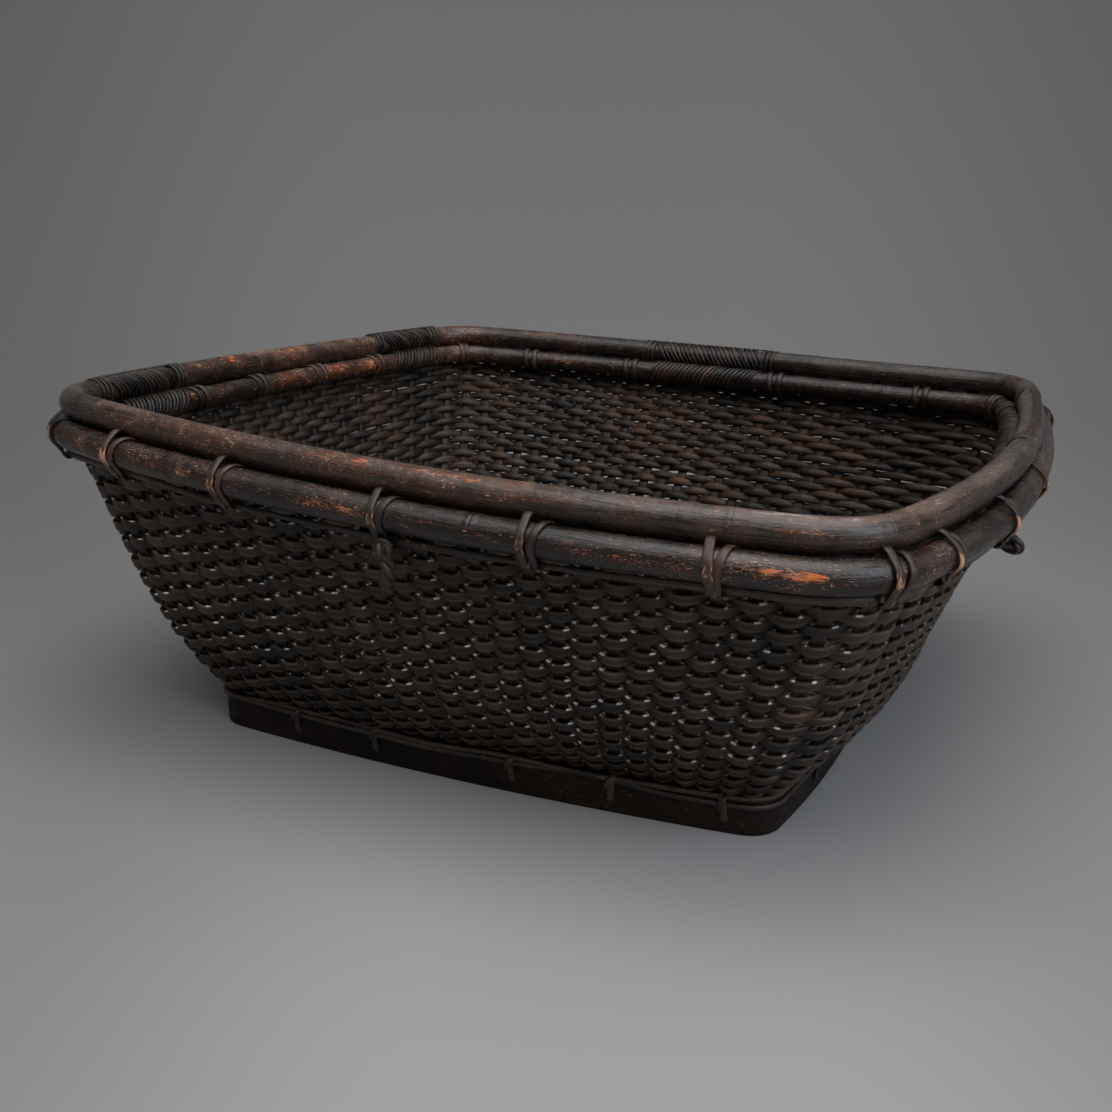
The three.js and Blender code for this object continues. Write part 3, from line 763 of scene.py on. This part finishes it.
def build_weavers():
    """The rows of flat strips. One more row, behind the foot band, closes the gap below the first."""
    piece = Piece("woven_strips", "weave", ("woven_wall_lower", "woven_wall_middle", "woven_wall_upper"))
    phase = np.arange(STAKES * STEPS_PER_STAKE) / STEPS_PER_STAKE
    u_low, u_high = (
        np.interp(phase, np.arange(STAKES + 1), np.append(stakes, stakes[0] + 4))
        for stakes in (stake_low, stake_high)
    )
    outline = np.array([
        (1.0, 0.1), (0.95, 0.85), (0.66, 1.08), (0.25, 0.94), (-0.25, 0.94), (-0.66, 1.08), (-0.95, 0.85),
        (-1.0, 0.1), (-0.93, -0.85), (-0.45, -1.72), (0.0, -1.95), (0.45, -1.72), (0.93, -0.85),
    ])
    # The outline points that carry the painted glints
    upper_edge = np.array([0, 0, 0, 0, 0, 0, 0.9, 1.0, 0.3, 0, 0, 0, 0])
    # The outline points that carry a painted highlight line along each float's rim
    rim_highlight = np.array([0, 0.2, 0.16, 0, 0, 0.16, 0.2, 0, 0, 0, 0, 0, 0])
    from_stake = np.abs(np.mod(phase + 0.5, 1) - 0.5)
    waist = 0.92 + 0.08 * np.abs(np.cos(np.pi * phase)) ** 0.8
    seen = np.interp(u_high % 4, *GLINT_SIDE_SHARES)
    little = 0.01
    for row in range(-1, ROWS):
        swing = np.cos(np.pi * (phase + row))
        swing = np.sign(swing) * np.abs(swing) ** 0.9 * (1.0 if row >= 0 else 0.35)
        size = 1 + wander(len(phase), 2 * STEPS_PER_STAKE, 0.07)
        share = row_share(row, u_high) + wander(len(phase), 3 * STEPS_PER_STAKE, 0.0022)
        centre = wall_point(u_low, u_high, share)
        above = wall_point(u_low, u_high, share + little)
        step = np.roll(centre, -1, 0) - np.roll(centre, 1, 0)
        normal = unit(np.cross(unit(step), unit(above - centre)))
        path = centre + normal * (WEAVER_SWING * swing * size)[:, None]
        rows_apart = row_share(row + 1, u_high) - row_share(row, u_high)
        pitch = np.linalg.norm(above - centre, axis=1) / little * rows_apart
        width = (FLOAT_SHARE + FLOAT_GAIN_SHARE * (u_high > FRONT_END_SHARE)) * pitch / 2 * waist
        width = width * (1 + wander(len(phase), 2 * STEPS_PER_STAKE, 0.05))
        tone = rng.normal(0, 0.3) + wander(len(phase), STEPS_PER_STAKE, 0.5)
        beside = from_stake * STEPS_PER_STAKE * np.linalg.norm(step, axis=1) / 2 - STAKE_WIDTH / 2
        beside = (beside > -GLINT_LAP) & (beside < GLINT_LENGTH) & (swing > 0)
        # The painted glints beside the stakes: fewer near the foot, and fewer on some sides
        painted_glint = np.repeat(np.clip(rng.normal(0.62, 0.3, STAKES * 2), 0, 1), STEPS_PER_STAKE // 2)
        painted_glint = painted_glint * beside * (row > 1) * np.clip(2.5 * share + 0.35, 0, 1) * seen
        float_share = np.maximum(swing, 0)
        # The highlight number holds the painted glints and the painted rim highlight
        edge = np.maximum(painted_glint[:, None] * upper_edge[None, :], float_share[:, None] * rim_highlight[None, :])
        piece.sweep(
            path, *frame_of(path, normal, closed=True), outline, width, WEAVER_THICKNESS / 2, closed=True,
            tone=tone, wear=0.12 * float_share, edge=edge,
        )
    piece.build(WEAVE)


def build_stakes():
    """The flat stakes that the rows go over and under."""
    piece = Piece("stakes", "weave")
    outline = np.array([
        (-1.0, 0.0), (-0.92, 0.8), (-0.5, 1.12), (0.0, 1.0), (0.5, 1.12), (0.92, 0.8), (1.0, 0.0),
        (0.7, -0.95), (0.0, -1.1), (-0.7, -0.95),
    ])
    share = np.linspace(-CLASP_SHARE, 1 + CLASP_SHARE, 110)
    little = 0.004
    for j in range(STAKES):
        u_low, u_high = np.full(len(share), stake_low[j]), np.full(len(share), stake_high[j])
        centre = wall_point(u_low, u_high, share)
        around = unit(wall_point(u_low + little, u_high + little, share) - centre)
        normal = unit(np.cross(around, unit(np.gradient(centre, axis=0))))
        rows = np.interp(share, row_share(np.arange(ROWS), u_high[0]), np.arange(ROWS))
        path = centre - normal * (np.cos(np.pi * (rows + j)) * STAKE_SWING)[:, None]
        after = (j + 1) % STAKES
        pitch_high = abs(apart(stake_high[after], stake_high[j - 1])) / 2 * rim.length
        pitch_low = abs(apart(stake_low[after], stake_low[j - 1])) / 2 * foot.length
        pitch = pitch_low + (pitch_high - pitch_low) * np.clip(share, 0, 1)
        width = STAKE_WIDTH / 2 * np.minimum(1.0, pitch / STAKE_PITCH + 0.12)
        tone = rng.normal(0, 0.5) + wander(len(share), 14, 0.3)
        piece.sweep(path, *frame_of(path, normal), outline, width, STAKE_THICKNESS / 2, tone=tone)
    piece.build(WEAVE)


def build_floor():
    """The plaited bottom, of strips both ways, cut to the outline of the foot."""
    piece = Piece("plaited_floor", "weave", ("woven_floor",))
    outline = oval(8, 3.0)
    edge_u = stations(200)
    border = foot.place(edge_u, 0 * edge_u - WALL_INSET - FLOOR_BORDER_INSET, 0.0)[:, :2]
    middle = np.array([FOOT_SHIFT_X, FOOT_SHIFT_Y])
    c, s = math.cos(FOOT_TWIST), math.sin(FOOT_TWIST)
    axes = np.array([[c, s], [-s, c]])
    local = (border - middle) @ axes.T
    height, half_width = FLOOR_TOP - FLOOR_STRIP_THICKNESS, FLOOR_STRIP_WIDTH / 2
    for way in range(2):
        reach = np.abs(local[:, 1 - way]).max()
        count = int(reach / FLOOR_STRIP_PITCH)
        for k in range(-count, count + 1):
            offset = k * FLOOR_STRIP_PITCH
            near = np.abs(local[:, 1 - way] - offset) < FLOOR_BORDER_REACH
            if not near.any():
                continue
            ends = local[near, way]
            start, stop = ends.min() + FLOOR_STRIP_END, ends.max() - FLOOR_STRIP_END
            steps = int((stop - start) / (FLOOR_STRIP_PITCH / 6))
            t = np.linspace(start, stop, steps)
            swing = np.cos(np.pi * (t / FLOOR_STRIP_PITCH + k + way)) * FLOOR_SWING_SHARE
            flat = np.zeros((steps, 2))
            flat[:, way] = t
            flat[:, 1 - way] = offset + wander(steps, 20, FLOOR_STRIP_WANDER)
            path = np.column_stack([flat @ axes + middle, height + swing * FLOOR_STRIP_THICKNESS])
            face, side = frame_of(path, UP + 0 * path)
            tone = rng.normal(0, 0.6) + wander(steps, 8, 0.3)
            piece.sweep(path, face, side, outline, half_width, FLOOR_STRIP_THICKNESS / 2, tone=tone)
    piece.build(WEAVE)


# Rim


def rail_stations(nodes):
    """Places round the loop, with more of them at the pole's nodes."""
    extra = [np.mod(n + np.linspace(-0.012, 0.012, 17), 4) for n in nodes]
    return np.unique(np.concatenate([stations(560), *extra]))


def blotches(u, angle, spots):
    """How strong soft spots of (place, angle, half length, half angle, strength) are on a pole, for its wear
    and for its painted sheen.
    """
    worn = np.zeros((len(u), len(angle)))
    for at, toward, length, width, strength in spots:
        du = apart(u, at)[:, None] / length
        da = (np.mod(angle - math.radians(toward) + np.pi, 2 * np.pi) - np.pi)[None, :] / math.radians(width)
        worn = np.maximum(worn, strength * np.exp(-np.minimum(du * du + da * da, 30.0)))
    return worn


def tuck(u):
    """How far in the outer pole is pulled, at the near left corner and along the right side."""
    right = bell(np.mod(u, 4), TUCK_RIGHT_SHARE, TUCK_RIGHT_SPREAD_SHARE, 4)
    return OUTER_TUCK * np.maximum(bell(apart(u, 0), 0, TUCK_CORNER_SPREAD_SHARE), right)


def bound(u):
    """1 where a binding covers the top rail, which is cut down there to make room for it."""
    u = np.mod(u, 4)
    depths = [np.minimum(u - start, stop - u) for start, stop in BINDING_SHARES.values()]
    return sum(np.clip(0.5 + depth / BINDING_EASE_SHARE, 0, 1) for depth in depths)


def build_pole(name, section, nodes, spots, painted_sheen, tones, calms):
    """A pole with a ring at each node. The tones and calms stand at equal steps round the loop."""
    piece = Piece(f"{name}_pole", "rail", (name,))
    u = rail_stations(nodes)
    radius = section["radius"] * (1 + wander(len(u), 40, 0.012)) - POLE_SLIMMING
    for node in nodes:
        d = apart(u, node) * RIM_LENGTH
        radius = radius + NODE_RISE * bell(d, 0, NODE_SPREAD) - NODE_GROOVE * bell(d, 0, NODE_GROOVE_SPREAD)
    out = section["out"] + wander(len(u), 60, POLE_WANDER_OUT)
    if name == "outer_rail":
        out = out - tuck(u)
    if name == "top_rail":
        radius = radius - BINDING_SINK * bound(u)
    path = rim.place(u, out, section["up"])
    path[:, 2] += wander(len(u), 50, POLE_WANDER_UP)
    angle = POLE_SEAM + round_angles(POLE_SIDES)
    outline = np.stack([np.cos(angle), np.sin(angle)], -1)
    tone = np.interp(u, np.linspace(0, 4, len(tones)), tones) + wander(len(u), 45, 0.3)
    calm = np.interp(u, np.linspace(0, 4, len(calms)), calms)
    # Worn spots feed the wear; the painted sheen spots feed the painted highlight number
    piece.sweep(
        path, UP + 0 * path, rim.outward(u), outline, radius, radius, closed=True,
        tone=tone, wear=blotches(u, angle, spots) - calm[:, None], edge=blotches(u, angle, painted_sheen),
    )
    piece.build(RAIL)


def strand(piece, loop, u, steps, shifts, width, thickness, **numbers):
    """A flat strand through (out, up, face out, face up) steps of a loop's section, shifted along it."""
    places = np.full(len(steps), u)
    places = places + loop.share_of(places, shifts)
    out = steps[:, 0]
    if loop is rim:
        out = out - tuck(places) * np.clip(out / OUTER_RAIL["out"], 0, 1)
    path = loop.place(places, out, steps[:, 1])
    hint = loop.outward(places) * steps[:, 2:3]
    hint[:, 2] = steps[:, 3]
    piece.sweep(path, *frame_of(path, hint), oval(8, 2.6), width / 2, thickness / 2, **numbers)


def arc(section, gap, start, stop, turn, count):
    """Steps round a pole, at a gap from it; the face looks away from the pole where turn is 1."""
    angle = np.linspace(start, stop, count)
    reach = section["radius"] + gap
    c, s = np.cos(angle), np.sin(angle)
    return np.stack([section["out"] + reach * c, section["up"] + reach * s, turn * c, turn * s], -1)


def bearing(a, b):
    """The angle of one pole from another, in the rim's section."""
    return math.atan2(b["up"] - a["up"], b["out"] - a["out"])


def smooth_path(steps):
    """Rounds off the joints between arcs."""
    steps = steps.copy()
    steps[1:-1] = 0.25 * steps[:-2] + 0.5 * steps[1:-1] + 0.25 * steps[2:]
    return steps


def lashing_path():
    """From below the outer rail, out round it, over the top rail and in round the inner rail."""
    gap = STRAND_THICKNESS / 2 + STRAND_GAP
    to_outer, to_inner = bearing(TOP_RAIL, OUTER_RAIL), bearing(TOP_RAIL, INNER_RAIL)
    below = INNER_RAIL["up"] - INNER_RAIL["radius"]
    start = [[LASHING_START[0], UNDER_CANE["up"] + LASHING_START[1], 0.0, -1.0]]
    end = [[LASHING_END[0], below + LASHING_END[1], 0.0, -1.0]]
    arcs = [
        arc(UNDER_CANE, LASHING_CANE_GAP, -np.pi / 2, 0.1, 1, 5),
        arc(OUTER_RAIL, gap, -0.45, to_outer + np.pi - 0.25, 1, 16),
        arc(TOP_RAIL, gap, to_outer - 0.2, to_inner + 0.2, -1, 8),
        arc(INNER_RAIL, gap, to_inner + np.pi + 0.25, 1.5 * np.pi - 0.1, 1, 14),
    ]
    return smooth_path(np.concatenate([start, *arcs, end]))


def build_lashings():
    """Each lashing is two strands, the first of them raised over the second, and a knot."""
    path = lashing_path()
    t = np.linspace(0, 1, len(path))
    lift = LASHING_LIFT_LOW * bell(t, 0.15, 0.14) + LASHING_LIFT_HIGH * bell(t, 0.46, 0.07)
    raised = path.copy()
    raised[:, :2] += path[:, 2:] * lift[:, None]
    turns = np.linspace(0, 2 * np.pi * KNOT_TURNS, 30)
    c, s = np.cos(turns), np.sin(turns)
    ring = UNDER_CANE["radius"] + KNOT_GAP
    knot = np.stack([UNDER_CANE["out"] + ring * c, UNDER_CANE["up"] + 1.15 * ring * s, c, s], -1)
    for i, u in enumerate(LASHING_SHARES):
        name = f"lashing_{i + 1:02d}"
        piece = Piece(f"{name}_strands", "strand", (name,))
        widest = rng.uniform(*LASHING_WIDEST)
        lean = rng.uniform(-LASHING_LEAN, LASHING_LEAN)
        first = np.interp(t, *FIRST_SHIFTS) + lean * np.interp(t, (0.12, 0.45), (1, 0))
        second = np.interp(t, *SECOND_SHIFTS) + widest * np.interp(t, (0.3, 0.48, 0.6, 1), (0, 1, 1, 0))
        wear = bell(t, 0.2, 0.1) * rng.uniform(0.8, 1.6)
        for way, along, sizes, worn in ((path, second, (0.85, 1.0), 0.4), (raised, first, (0.95, 1.1), 1.0)):
            width, tone = STRAND_WIDTH * rng.uniform(*sizes), rng.normal(0, 0.5)
            strand(piece, rim, u, way, along, width, STRAND_THICKNESS, tone=tone, wear=wear * worn)
        shifts = np.linspace(*KNOT_SHIFTS, len(knot)) + lean
        strand(piece, rim, u, knot, shifts, KNOT_WIDTH, KNOT_THICKNESS, tone=rng.normal(0.4, 0.5), wear=0.5)
        piece.build(STRAND)


def build_bindings():
    """Each binding goes round the top and the inner rail in figures of eight, laid close in a herringbone."""
    gap = BINDING_THICKNESS / 2 + BINDING_GAP
    cross = bearing(TOP_RAIL, INNER_RAIL)
    core = {**TOP_RAIL, "radius": TOP_RAIL["radius"] - BINDING_SINK}
    over = arc(core, gap, cross + BINDING_CROSSING, cross + 2 * np.pi - BINDING_CROSSING, 1, 28)
    under = arc(INNER_RAIL, gap, cross + np.pi - BINDING_CROSSING, cross - np.pi + BINDING_CROSSING, -1, 24)
    turn = np.concatenate([over, under])
    lean = [
        np.interp(np.linspace(0, 1, len(part)), [0, furthest, 1], [0, BINDING_LEAN, 0])
        for part, furthest in ((over, 0.55), (under, 0.42))
    ]
    ring = arc(core, gap + BINDING_RING_GAP, 0, 5.5 * np.pi, 1, 90)
    ring_shifts = np.linspace(-BINDING_RING_REACH, BINDING_RING_REACH, len(ring))
    for name, (start, stop) in BINDING_SHARES.items():
        piece = Piece(f"{name}_strand", "strand", (name,))
        length = (stop - start) * (RIM_LENGTH if int(start) % 2 == 0 else RIM_WIDTH)
        turns = int((length - BINDING_LEAN) / BINDING_PITCH)
        steps = smooth_path(np.tile(turn, (turns, 1)))
        shift = np.linspace(0, length - BINDING_LEAN, len(steps)) + np.tile(np.concatenate(lean), turns)
        shift = shift + wander(len(steps), 30, BINDING_WANDER)
        tone = np.repeat(rng.normal(-0.4, 0.6, turns * 2), len(turn) // 2)
        strand(piece, rim, start, steps, shift, BINDING_WIDTH, BINDING_THICKNESS, tone=tone, wear=0.05)
        for end in (0.0, length):
            strand(piece, rim, start, ring, end + ring_shifts, BINDING_WIDTH, BINDING_THICKNESS)
        count = int(length / (BINDING_PITCH / 3))
        for phase in (0.0, np.pi):
            wave = np.arange(count) / 3 * np.pi + phase
            angle = RIDGE_TOWARD + RIDGE_SWAY * np.sin(wave)
            reach = core["radius"] + BINDING_THICKNESS + BINDING_GAP + RIDGE_SWELL * np.cos(2 * wave + phase)
            ridge = np.stack([reach * np.cos(angle), reach * np.sin(angle), np.cos(angle), np.sin(angle)], -1)
            width, tone = BINDING_WIDTH * RIDGE_WIDTH_SHARE, rng.normal(0, 0.4)
            shifts = np.linspace(0, length, count)
            strand(piece, rim, start, ridge, shifts, width, RIDGE_THICKNESS, tone=tone, wear=0.1)
        piece.build(STRAND)


def build_under_cane():
    """A thin flat cane below the outer rail, which dips between the lashings."""
    piece = Piece("under_rail_strip", "strand", ("under_rail_cane",))
    u = stations(640)
    out = UNDER_CANE["out"] - UNDER_CANE_INSET + wander(len(u), 18, UNDER_CANE_WANDER_OUT) - tuck(u)
    path = rim.place(u, out, UNDER_CANE["up"])
    path[:, 2] += wander(len(u), 24, UNDER_CANE_WANDER_UP) - UNDER_CANE_DROP
    width = UNDER_CANE_HALF_WIDTH * (1 + wander(len(u), 16, 0.12))
    piece.sweep(
        path, *frame_of(path, rim.outward(u), closed=True), oval(8), width, UNDER_CANE_HALF_THICKNESS,
        closed=True, tone=wander(len(u), 20, 0.5), wear=0.05,
    )
    piece.build(STRAND)


def twisted(piece, path, hint, strands, twist, radius, lay):
    """A rope: strands that wind round a path."""
    hint = hint + 0 * path
    face, side = frame_of(path, hint)
    length = np.cumsum(np.linalg.norm(np.gradient(path, axis=0), axis=1))
    for k in range(strands):
        angle = length / lay + k * 2 * np.pi / strands
        line = path + twist * (face * np.sin(angle)[:, None] + side * np.cos(angle)[:, None])
        tone = rng.normal(-0.3, 0.5)
        piece.sweep(line, *frame_of(line, hint), oval(10, 2), radius, radius, tone=tone, wear=0.2)


def build_lugs():
    """Each lug is a doubled rope of twisted cane, bent into an eye. The front one has a loose tail."""
    straight = LUG_REACH - LUG_BEND
    upper = np.stack([np.linspace(LUG_START, straight, 18), np.full(18, LUG_BEND)], -1)
    turn = np.linspace(np.pi / 2, -np.pi / 2, 18)[1:-1]
    bend = np.stack([straight + LUG_BEND * np.cos(turn), LUG_BEND * np.sin(turn)], -1)
    lower = np.stack([np.linspace(straight, LUG_START - LUG_LAP, 20), np.full(20, -LUG_BEND)], -1)
    flat = np.concatenate([upper, bend, lower])
    rise = LUG_UP - LUG_DROP * (flat[:, :1] / LUG_REACH) ** 2 + flat[:, 1:]
    for name, share in LUG_SHARES.items():
        piece = Piece(f"{name}_eye", "strand", (name,))
        place, outward = rim.point(np.array(share)), rim.outward(np.array(share))
        along = np.array([-outward[1], outward[0], 0.0])
        twisted(piece, place + outward * flat[:, :1] + UP * rise, along, **LUG_ROPE)
        if name == "lug_front":
            turn = np.linspace(0, 2 * np.pi * EYE_TURNS, 50)[:, None]
            ring = place + outward * (LUG_REACH - EYE_INSET) + along * EYE_RADIUS * np.sin(turn)
            ring = ring + UP * (LUG_UP - EYE_DROP + EYE_RADIUS * np.cos(turn))
            twisted(piece, ring, outward, **EYE_ROPE)
            t = np.linspace(0, 1, 40)[:, None]
            tail = place + outward * (LUG_REACH - TAIL_INSET - TAIL_SWEEP * t**2)
            tail = tail + along * TAIL_SWAY * np.sin(5 * t) + UP * (LUG_UP - TAIL_DROP - TAIL_LENGTH * t)
            twisted(piece, tail, along, **TAIL_ROPE)
        piece.build(STRAND)


# Foot


def build_foot_band():
    """A bent strip on edge, with eased and worn edges."""
    piece = Piece("foot_hoop", "foot", ("foot_band",))
    u = stations(520)
    half = FOOT_BAND_THICKNESS / 2
    z = np.array([0, 0.02, 0.08, 0.3, 0.6, 0.92, 0.985, 1.0, 1.0, 0.985, 0.92, 0.5, 0.08, 0.02, 0])
    x = np.array([0.6, 0.92, 1, 1, 1, 1, 0.9, 0.55, -0.55, -0.9, -1, -1, -1, -0.92, -0.6])
    outline = np.stack([x, 2 * z - 1], -1)
    path = foot.place(u, 0 * u, FOOT_HEIGHT / 2)
    wear = np.where(np.abs(z - 0.01) < 0.03, 0.55, 0.0) + np.where(z > 0.95, 0.2, 0.0)
    piece.sweep(
        path, UP + 0 * path, foot.outward(u), outline, half, FOOT_HEIGHT / 2 - BAND_CLEARANCE, closed=True,
        tone=wander(len(u), 40, 0.5), wear=wear[None, :] + wander(len(u), 10, 0.12)[:, None],
    )
    piece.build(FOOT)


def build_foot_cane():
    """Two thin canes along the band's top edge, the lower one further out."""
    piece = Piece("foot_edge_cane", "strand", ("foot_cane",))
    u = stations(560)
    for k in range(2):
        out = FOOT_BAND_THICKNESS / 2 + FOOT_CANE_GAP + FOOT_CANE_STEP_OUT * k
        out = out + wander(len(u), 16, FOOT_CANE_WANDER_OUT)
        path = foot.place(u, out, FOOT_HEIGHT - FOOT_CANE_DROP)
        path[:, 2] += wander(len(u), 20, FOOT_CANE_WANDER_UP) - FOOT_CANE_STEP_DOWN * k
        face, side = frame_of(path, foot.outward(u), closed=True)
        piece.sweep(
            path, face, side, oval(8), FOOT_CANE_HALF_WIDTH, FOOT_CANE_HALF_THICKNESS, closed=True,
            tone=wander(len(u), 18, 0.5) - 0.9 * k, wear=0.4,
        )
    piece.build(STRAND)


def build_stitches():
    """Each stitch laps over the band's top edge and down its face, with a shorter turn beside it."""
    share, out, up, *facing = STITCH_STEPS.T
    out = share * FOOT_BAND_THICKNESS / 2 + out * MM
    steps = smooth_path(np.stack([out, FOOT_HEIGHT + up * MM, *facing], -1))
    loop = steps[:STITCH_LOOP_STEPS].copy()
    loop[:, 0] += STITCH_LOOP_GAP * (loop[:, 2] > 0.5)
    loop_shifts = np.linspace(*STITCH_LOOP_SHIFTS, len(loop))
    for i, u in enumerate(STITCH_SHARES):
        name = f"foot_stitch_{i + 1:02d}"
        piece = Piece(f"{name}_strand", "strand", (name,))
        lean = rng.uniform(-STITCH_LEAN, STITCH_LEAN)
        shifts = np.linspace(lean, -0.5 * lean, len(steps))
        for way, along, size in ((steps, shifts, 1.0), (loop, loop_shifts, STITCH_LOOP_WIDTH_SHARE)):
            width, tone = STITCH_WIDTH * size, rng.normal(0, 0.4)
            strand(piece, foot, u, way, along, width, STITCH_THICKNESS, tone=tone, wear=0.15)
        piece.build(STRAND)


# Stage


def build_stage():
    """A floor that curves up into a backdrop all round, its grey painted darker away from the camera, up the
    backdrop and to the sides as painted light falloff.
    """
    profile = [(r, 0.0) for r in np.linspace(0.0, STAGE_FLAT, 6)]
    for t in np.linspace(0.05, 1, 24) * np.pi / 2:
        out = STAGE_FLAT + (STAGE_REACH - STAGE_FLAT) * math.sin(t)
        profile.append((out, STAGE_HEIGHT * (1 - math.cos(t))))
    angle = round_angles(STAGE_TURNS)
    points = [(r * c, r * s, z) for r, z in profile for c, s in zip(np.cos(angle), np.sin(angle))]
    quads = cells(len(profile), STAGE_TURNS, False)
    material, tree, bsdf = nodes_of("studio_grey")
    place = add(tree, "ShaderNodeTexCoord").outputs["Object"]
    parts = add(tree, "ShaderNodeSeparateXYZ", {0: place})
    away, aside = (
        add(tree, "ShaderNodeVectorMath", {0: place, 1: way}, operation="DOT_PRODUCT").outputs["Value"]
        for way in (AWAY, ASIDE)
    )
    ahead = sums(tree, "MAXIMUM", sums(tree, "ADD", away, 0.9), 0.6)
    turned = sums(tree, "ABSOLUTE", sums(tree, "DIVIDE", aside, ahead), 0.0)
    # Painted light falloff: the grey darkens away from the camera, up the backdrop and out to the sides
    tone = ramp(tree, away, -0.35, 0.5, 0.285, 0.197)
    tone = sums(tree, "MULTIPLY", tone, ramp(tree, parts.outputs["Z"], 0.9, 2.5, 1.0, 0.52))
    tone = sums(tree, "MULTIPLY", tone, ramp(tree, turned, 0.12, 0.5, 1.12, 0.8))
    tree.links.new(mix(tree, 1.0, grey(tree, tone), STAGE_TINT, "MULTIPLY"), bsdf.inputs["Base Color"])
    bsdf.inputs["Roughness"].default_value = 0.95
    bsdf.inputs["Specular IOR Level"].default_value = 0.1
    linked("studio_floor", smooth_mesh("studio_floor", points, quads.tolist(), material))


def build_lights():
    for name, place, size, power, colour in LIGHTS:
        light = bpy.data.lights.new(name, "AREA")
        light.shape, light.size, light.energy, light.color = "DISK", size, power, colour
        obj = linked(name, light)
        obj.location = place
        direction = Vector(LIGHTS_TARGET) - obj.location
        obj.rotation_euler = direction.to_track_quat("-Z", "Y").to_euler()
    world = bpy.data.worlds.new("studio")
    world.use_nodes = True
    background = world.node_tree.nodes["Background"]
    background.inputs["Color"].default_value = (1.0, 1.0, 1.0, 1.0)
    background.inputs["Strength"].default_value = WORLD_STRENGTH
    bpy.context.scene.world = world


def build_camera():
    camera = bpy.data.cameras.new("camera")
    camera.sensor_width = SENSOR_MM
    camera.lens = SENSOR_MM * FOCAL_PIXELS / PICTURE_PIXELS
    obj = linked("camera", camera)
    turn = Matrix((VIEW_RIGHT, VIEW_UP, VIEW_BACK)).transposed().to_4x4()
    obj.matrix_world = Matrix.Translation(VIEW_PLACE) @ turn
    bpy.context.scene.camera = obj


build_camera()
build_weavers()
build_stakes()
build_floor()
for name, pole in POLES.items():
    build_pole(name, **pole)
build_under_cane()
build_lashings()
build_bindings()
build_lugs()
build_foot_band()
build_foot_cane()
build_stitches()
build_stage()
build_lights()

bpy.context.scene.view_settings.view_transform = "Standard"
